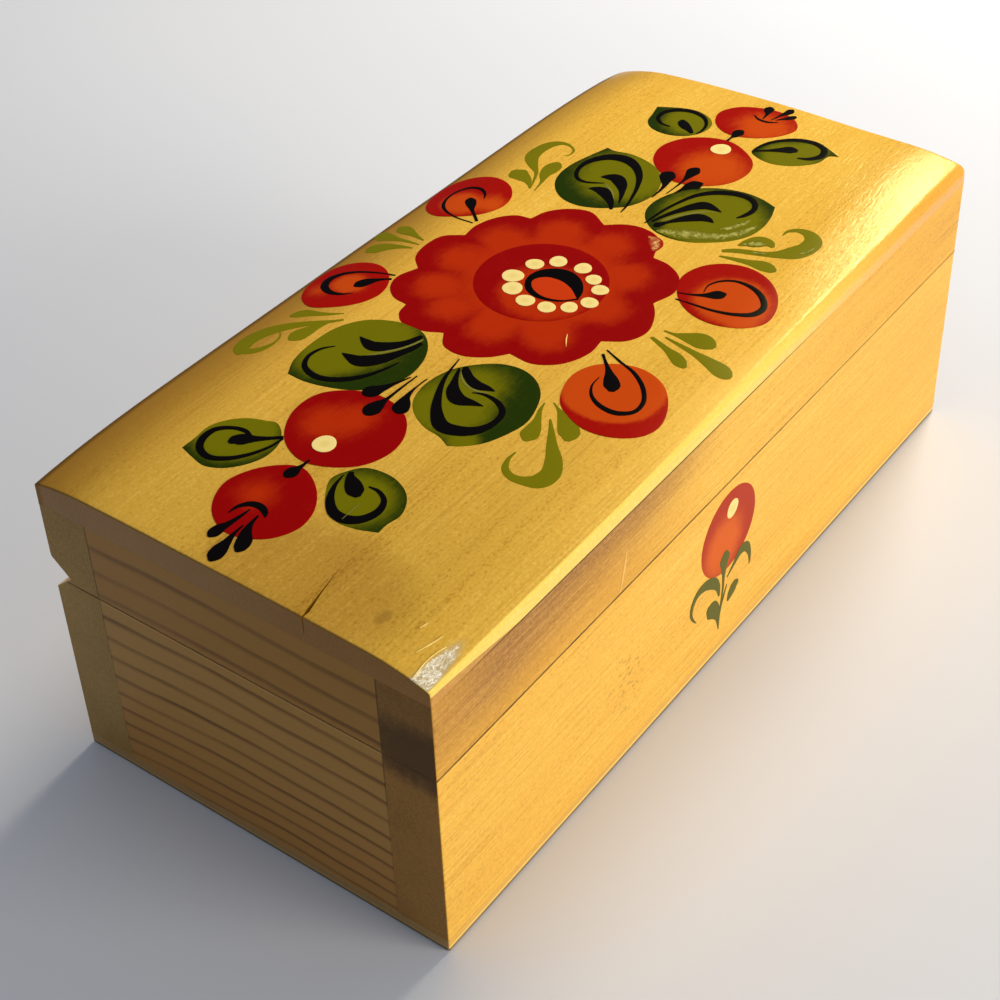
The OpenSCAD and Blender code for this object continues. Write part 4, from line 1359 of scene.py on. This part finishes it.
# Scratches in the lid's top, in one of its leaves and, with z for y, in the lid's front
TOP_SCRATCHES = [
    [(-10.2, -12.4, 0.05), (-8.4, -11.2, 0.12), (-6.7, -10.3, 0.05)],
    [(-94.9, -40.2, 0.04), (-92, -40.9, 0.08), (-89.2, -41.4, 0.04)],
    [(-90.2, -37.4, 0.04), (-89.3, -37.6, 0.08), (-88.5, -37.7, 0.04)],
    [(-99.2, -43.0, 0.03), (-95.4, -42.6, 0.08), (-92.3, -42.8, 0.06), (-90.4, -43.2, 0.03)],
]
LEAF_SCRATCH = [(-76.6, -9, 0.05), (-74, -8.9, 0.07), (-71.5, -8.8, 0.05)]
FRONT_SCRATCH = [(-40.4, 57.5, 0.12), (-41.4, 52.4, 0.42), (-42.6, 48, 0.2)]


def painted(name, layer, material, blobs=(), strokes=(), dots=(), columns=6, fade=0.0, front_of=None):
    """One piece of the painting, on the lid's top or on the front of a body."""
    coat = Coat(on_front if front_of else on_top, layer)
    for spine in strokes:
        coat.stroke(spine, columns, fade)
    for shape in blobs:
        coat.blob(*shape)
    for dot in dots:
        coat.dot(*dot)
    coat.build(name, front_of or "lid", material)


def round_fruit(shapes):
    """Outline and orange spots of each berry or rose hip."""
    return [(smooth_path(run, FRUIT_STEP, closed=True), soft_discs(*spots)) for run, spots in shapes]


def build_painting():
    """The paints, then every film of the painting and of its wear, each with its layer."""
    red = paint("red_paint", (146, 0, 0), (181, 43, 0), brush=0.6)
    hip = paint("hip_paint", (160, 8, 0), (198, 70, 6), brush=0.6)
    leaf = paint("leaf_paint", (34, 50, 2), (111, 108, 0), brush=0.5)
    olive = paint("olive_paint", (98, 96, 2), (120, 114, 4), brush=0.8)
    pale = paint("vein_paint", (112, 112, 40), (122, 120, 48))
    black = paint("black_paint", (6, 4, 6), (9, 6, 8))
    cream = paint("cream_paint", (244, 220, 140), (236, 210, 126), brush=0.5)
    seed = paint("seed_paint", (170, 40, 6), (200, 56, 8))
    rubbed = worn_paint("worn_leaves_paint", (106, 104, 4), (188, 180, 96))
    chipped = worn_paint("worn_petal_paint", (158, 20, 2), (236, 192, 116))
    scuff = paint("scuff_pale", (226, 188, 92), (252, 226, 138), brush=2.0)
    front_scuff = paint("front_scuff_pale", (214, 160, 80), (240, 192, 104), brush=1.0)
    front_red = paint("front_red_paint", (174, 46, 12), (212, 92, 16))
    front_leaf = paint("front_leaf_paint", (76, 80, 20), (94, 94, 32))

    leaves = [(outline_with_corners(run), soft_discs(*spots)) for run, spots in LEAVES]
    seed_black = outline_with_corners(SEED_BLACK, spacing=SEED_STEP)
    seed_red = outline_with_corners(SEED_RED, spacing=SEED_STEP)
    painted("paint_flower", 1, red, [(outline_with_corners(*PETALS), petal_glow, HEART)])
    painted("paint_flower_heart", 2, red, [(circle(HEART, HEART_R), HEART_GLOW)])
    painted("paint_berries", 2, red, round_fruit(BERRIES))
    painted("paint_hips", 2, hip, round_fruit(HIPS))
    painted("paint_leaves", 1, leaf, leaves)
    painted("paint_sprigs", 1, olive, strokes=SPRIGS)
    painted("worn_leaves", 2, rubbed, strokes=RUBBED, fade=1.0)
    painted("worn_petal", 2, chipped, strokes=[CHIPPED], fade=1.0)
    painted("paint_black_strokes", 3, black, [[seed_black]], BLACK_STROKES)
    painted("paint_leaf_veins", 2, pale, strokes=VEINS)
    painted("paint_seed", 4, seed, [(seed_red, SEED_GLOW)])
    painted("paint_dots", 4, cream, dots=DOTS)
    painted("scratches_top", 4, scuff, strokes=TOP_SCRATCHES, columns=3, fade=0.5)
    painted("scratch_leaf", 4, pale, strokes=[LEAF_SCRATCH], columns=3)
    painted("scratch_lid_front", 1, front_scuff, strokes=[FRONT_SCRATCH], columns=5, fade=1.0, front_of="lid")
    painted("paint_front_berry", 1, front_red, [(circle(BALL, BALL_R), BALL_GLOW)], front_of="base")
    painted("paint_front_leaves", 2, front_leaf, strokes=FRONT_LEAVES, front_of="base")
    painted("paint_front_dot", 2, cream, dots=[BALL_DOT], front_of="base")


# Stage, light and camera; the floor and the lights are in metres

FLOOR_SIZE = 40.0


def build_floor():
    """A wide pale floor under the box."""
    bpy.ops.mesh.primitive_plane_add(size=FLOOR_SIZE)
    floor = bpy.context.active_object
    floor.name = "floor"
    g = Graph("floor_pale")
    soft = g.noise((0.002, 0.002, 0.002), detail=2)
    colour = g.mix(g.ramp(soft, 0.3, 0.7), srgb(213, 216, 224), srgb(219, 221, 227))
    floor.data.materials.append(g.finish(colour, 0.9))


LIGHT_AIM = (0, 0, 0.04)


def area_light(name, place, size, power, colour, diffuse=True, glossy=True, width=None, along=(0, 1, 0)):
    """A soft round light, or an oval one along a way; it can be left out of diffuse or glossy light."""
    lamp = bpy.data.lights.new(name, "AREA")
    lamp.shape = "ELLIPSE"
    lamp.size = size
    lamp.size_y = width or size
    lamp.energy = power
    lamp.color = colour
    light = bpy.data.objects.new(name, lamp)
    back = (Vector(place) - Vector(LIGHT_AIM)).normalized()
    side = back.cross(Vector(along)).normalized()
    turn = Matrix((side.cross(back), side, back)).transposed().to_4x4()
    light.matrix_world = Matrix.Translation(place) @ turn
    light.visible_diffuse = diffuse
    light.visible_glossy = glossy
    bpy.context.scene.collection.objects.link(light)


WARM = (1.0, 0.92, 0.78)
GOLD = (1.0, 0.89, 0.45)
COOL = (0.84, 0.92, 1.04, 1.0)
# Strength of the room's light, and the share of it that glossy reflections see
ROOM = 0.34
ROOM_SHINE = 0.3


def build_light():
    """Two soft windows, a long bright one that only shines in the varnish, and the room."""
    area_light("front_window", (0.3, -1.42, 0.4), 0.9, 17.0, WARM, glossy=False)
    area_light("right_window", (0.64, 0.01, 0.54), 0.35, 6.4, WARM, glossy=False)
    shine = dict(width=0.075, along=(0.135, 0.44, -0.07), diffuse=False)
    area_light("right_shine", (0.661, -0.048, 0.561), 0.52, 2.6, GOLD, **shine)
    world = bpy.data.worlds.new("soft_room")
    world.use_nodes = True
    tree = world.node_tree
    room = tree.nodes["Background"]
    room.inputs["Color"].default_value = COOL
    path = tree.nodes.new("ShaderNodeLightPath")
    level = tree.nodes.new("ShaderNodeMapRange")
    level.inputs["To Min"].default_value = ROOM
    level.inputs["To Max"].default_value = ROOM * ROOM_SHINE
    tree.links.new(path.outputs["Is Glossy Ray"], level.inputs["Value"])
    tree.links.new(level.outputs["Result"], room.inputs["Strength"])
    bpy.context.scene.world = world


# Where the camera looks, in millimetres, and its lean in degrees
CAMERA_AIM = (-21.3, -2.15, 45.0)
CAMERA_LEAN = 2.28
CAMERA_SENSOR = 36.0
CAMERA_LENS = 71.17
CAMERA_SHIFT = (0.0035, -0.0379)


def build_camera():
    """The photo's camera: a slight lean and a shifted frame."""
    data = bpy.data.cameras.new("camera")
    data.sensor_width = CAMERA_SENSOR
    data.lens = CAMERA_LENS
    data.shift_x, data.shift_y = CAMERA_SHIFT
    data.clip_start = 0.01
    camera = bpy.data.objects.new("camera", data)
    bpy.context.scene.collection.objects.link(camera)
    back = (Vector(CAMERA_AT) - Vector(CAMERA_AIM)).normalized()
    level = Vector((0, 0, 1)).cross(back).normalized()
    upright = back.cross(level)
    lean = math.radians(CAMERA_LEAN)
    up = upright * math.cos(lean) + level * math.sin(lean)
    right = up.cross(back)
    turn = Matrix((right, up, back)).transposed().to_4x4()
    camera.matrix_world = Matrix.Translation(Vector(CAMERA_AT) * MM) @ turn
    bpy.context.scene.camera = camera


build_case()
dress_hinges()
build_painting()
build_floor()
build_light()
build_camera()
bpy.context.scene.view_settings.view_transform = "Standard"
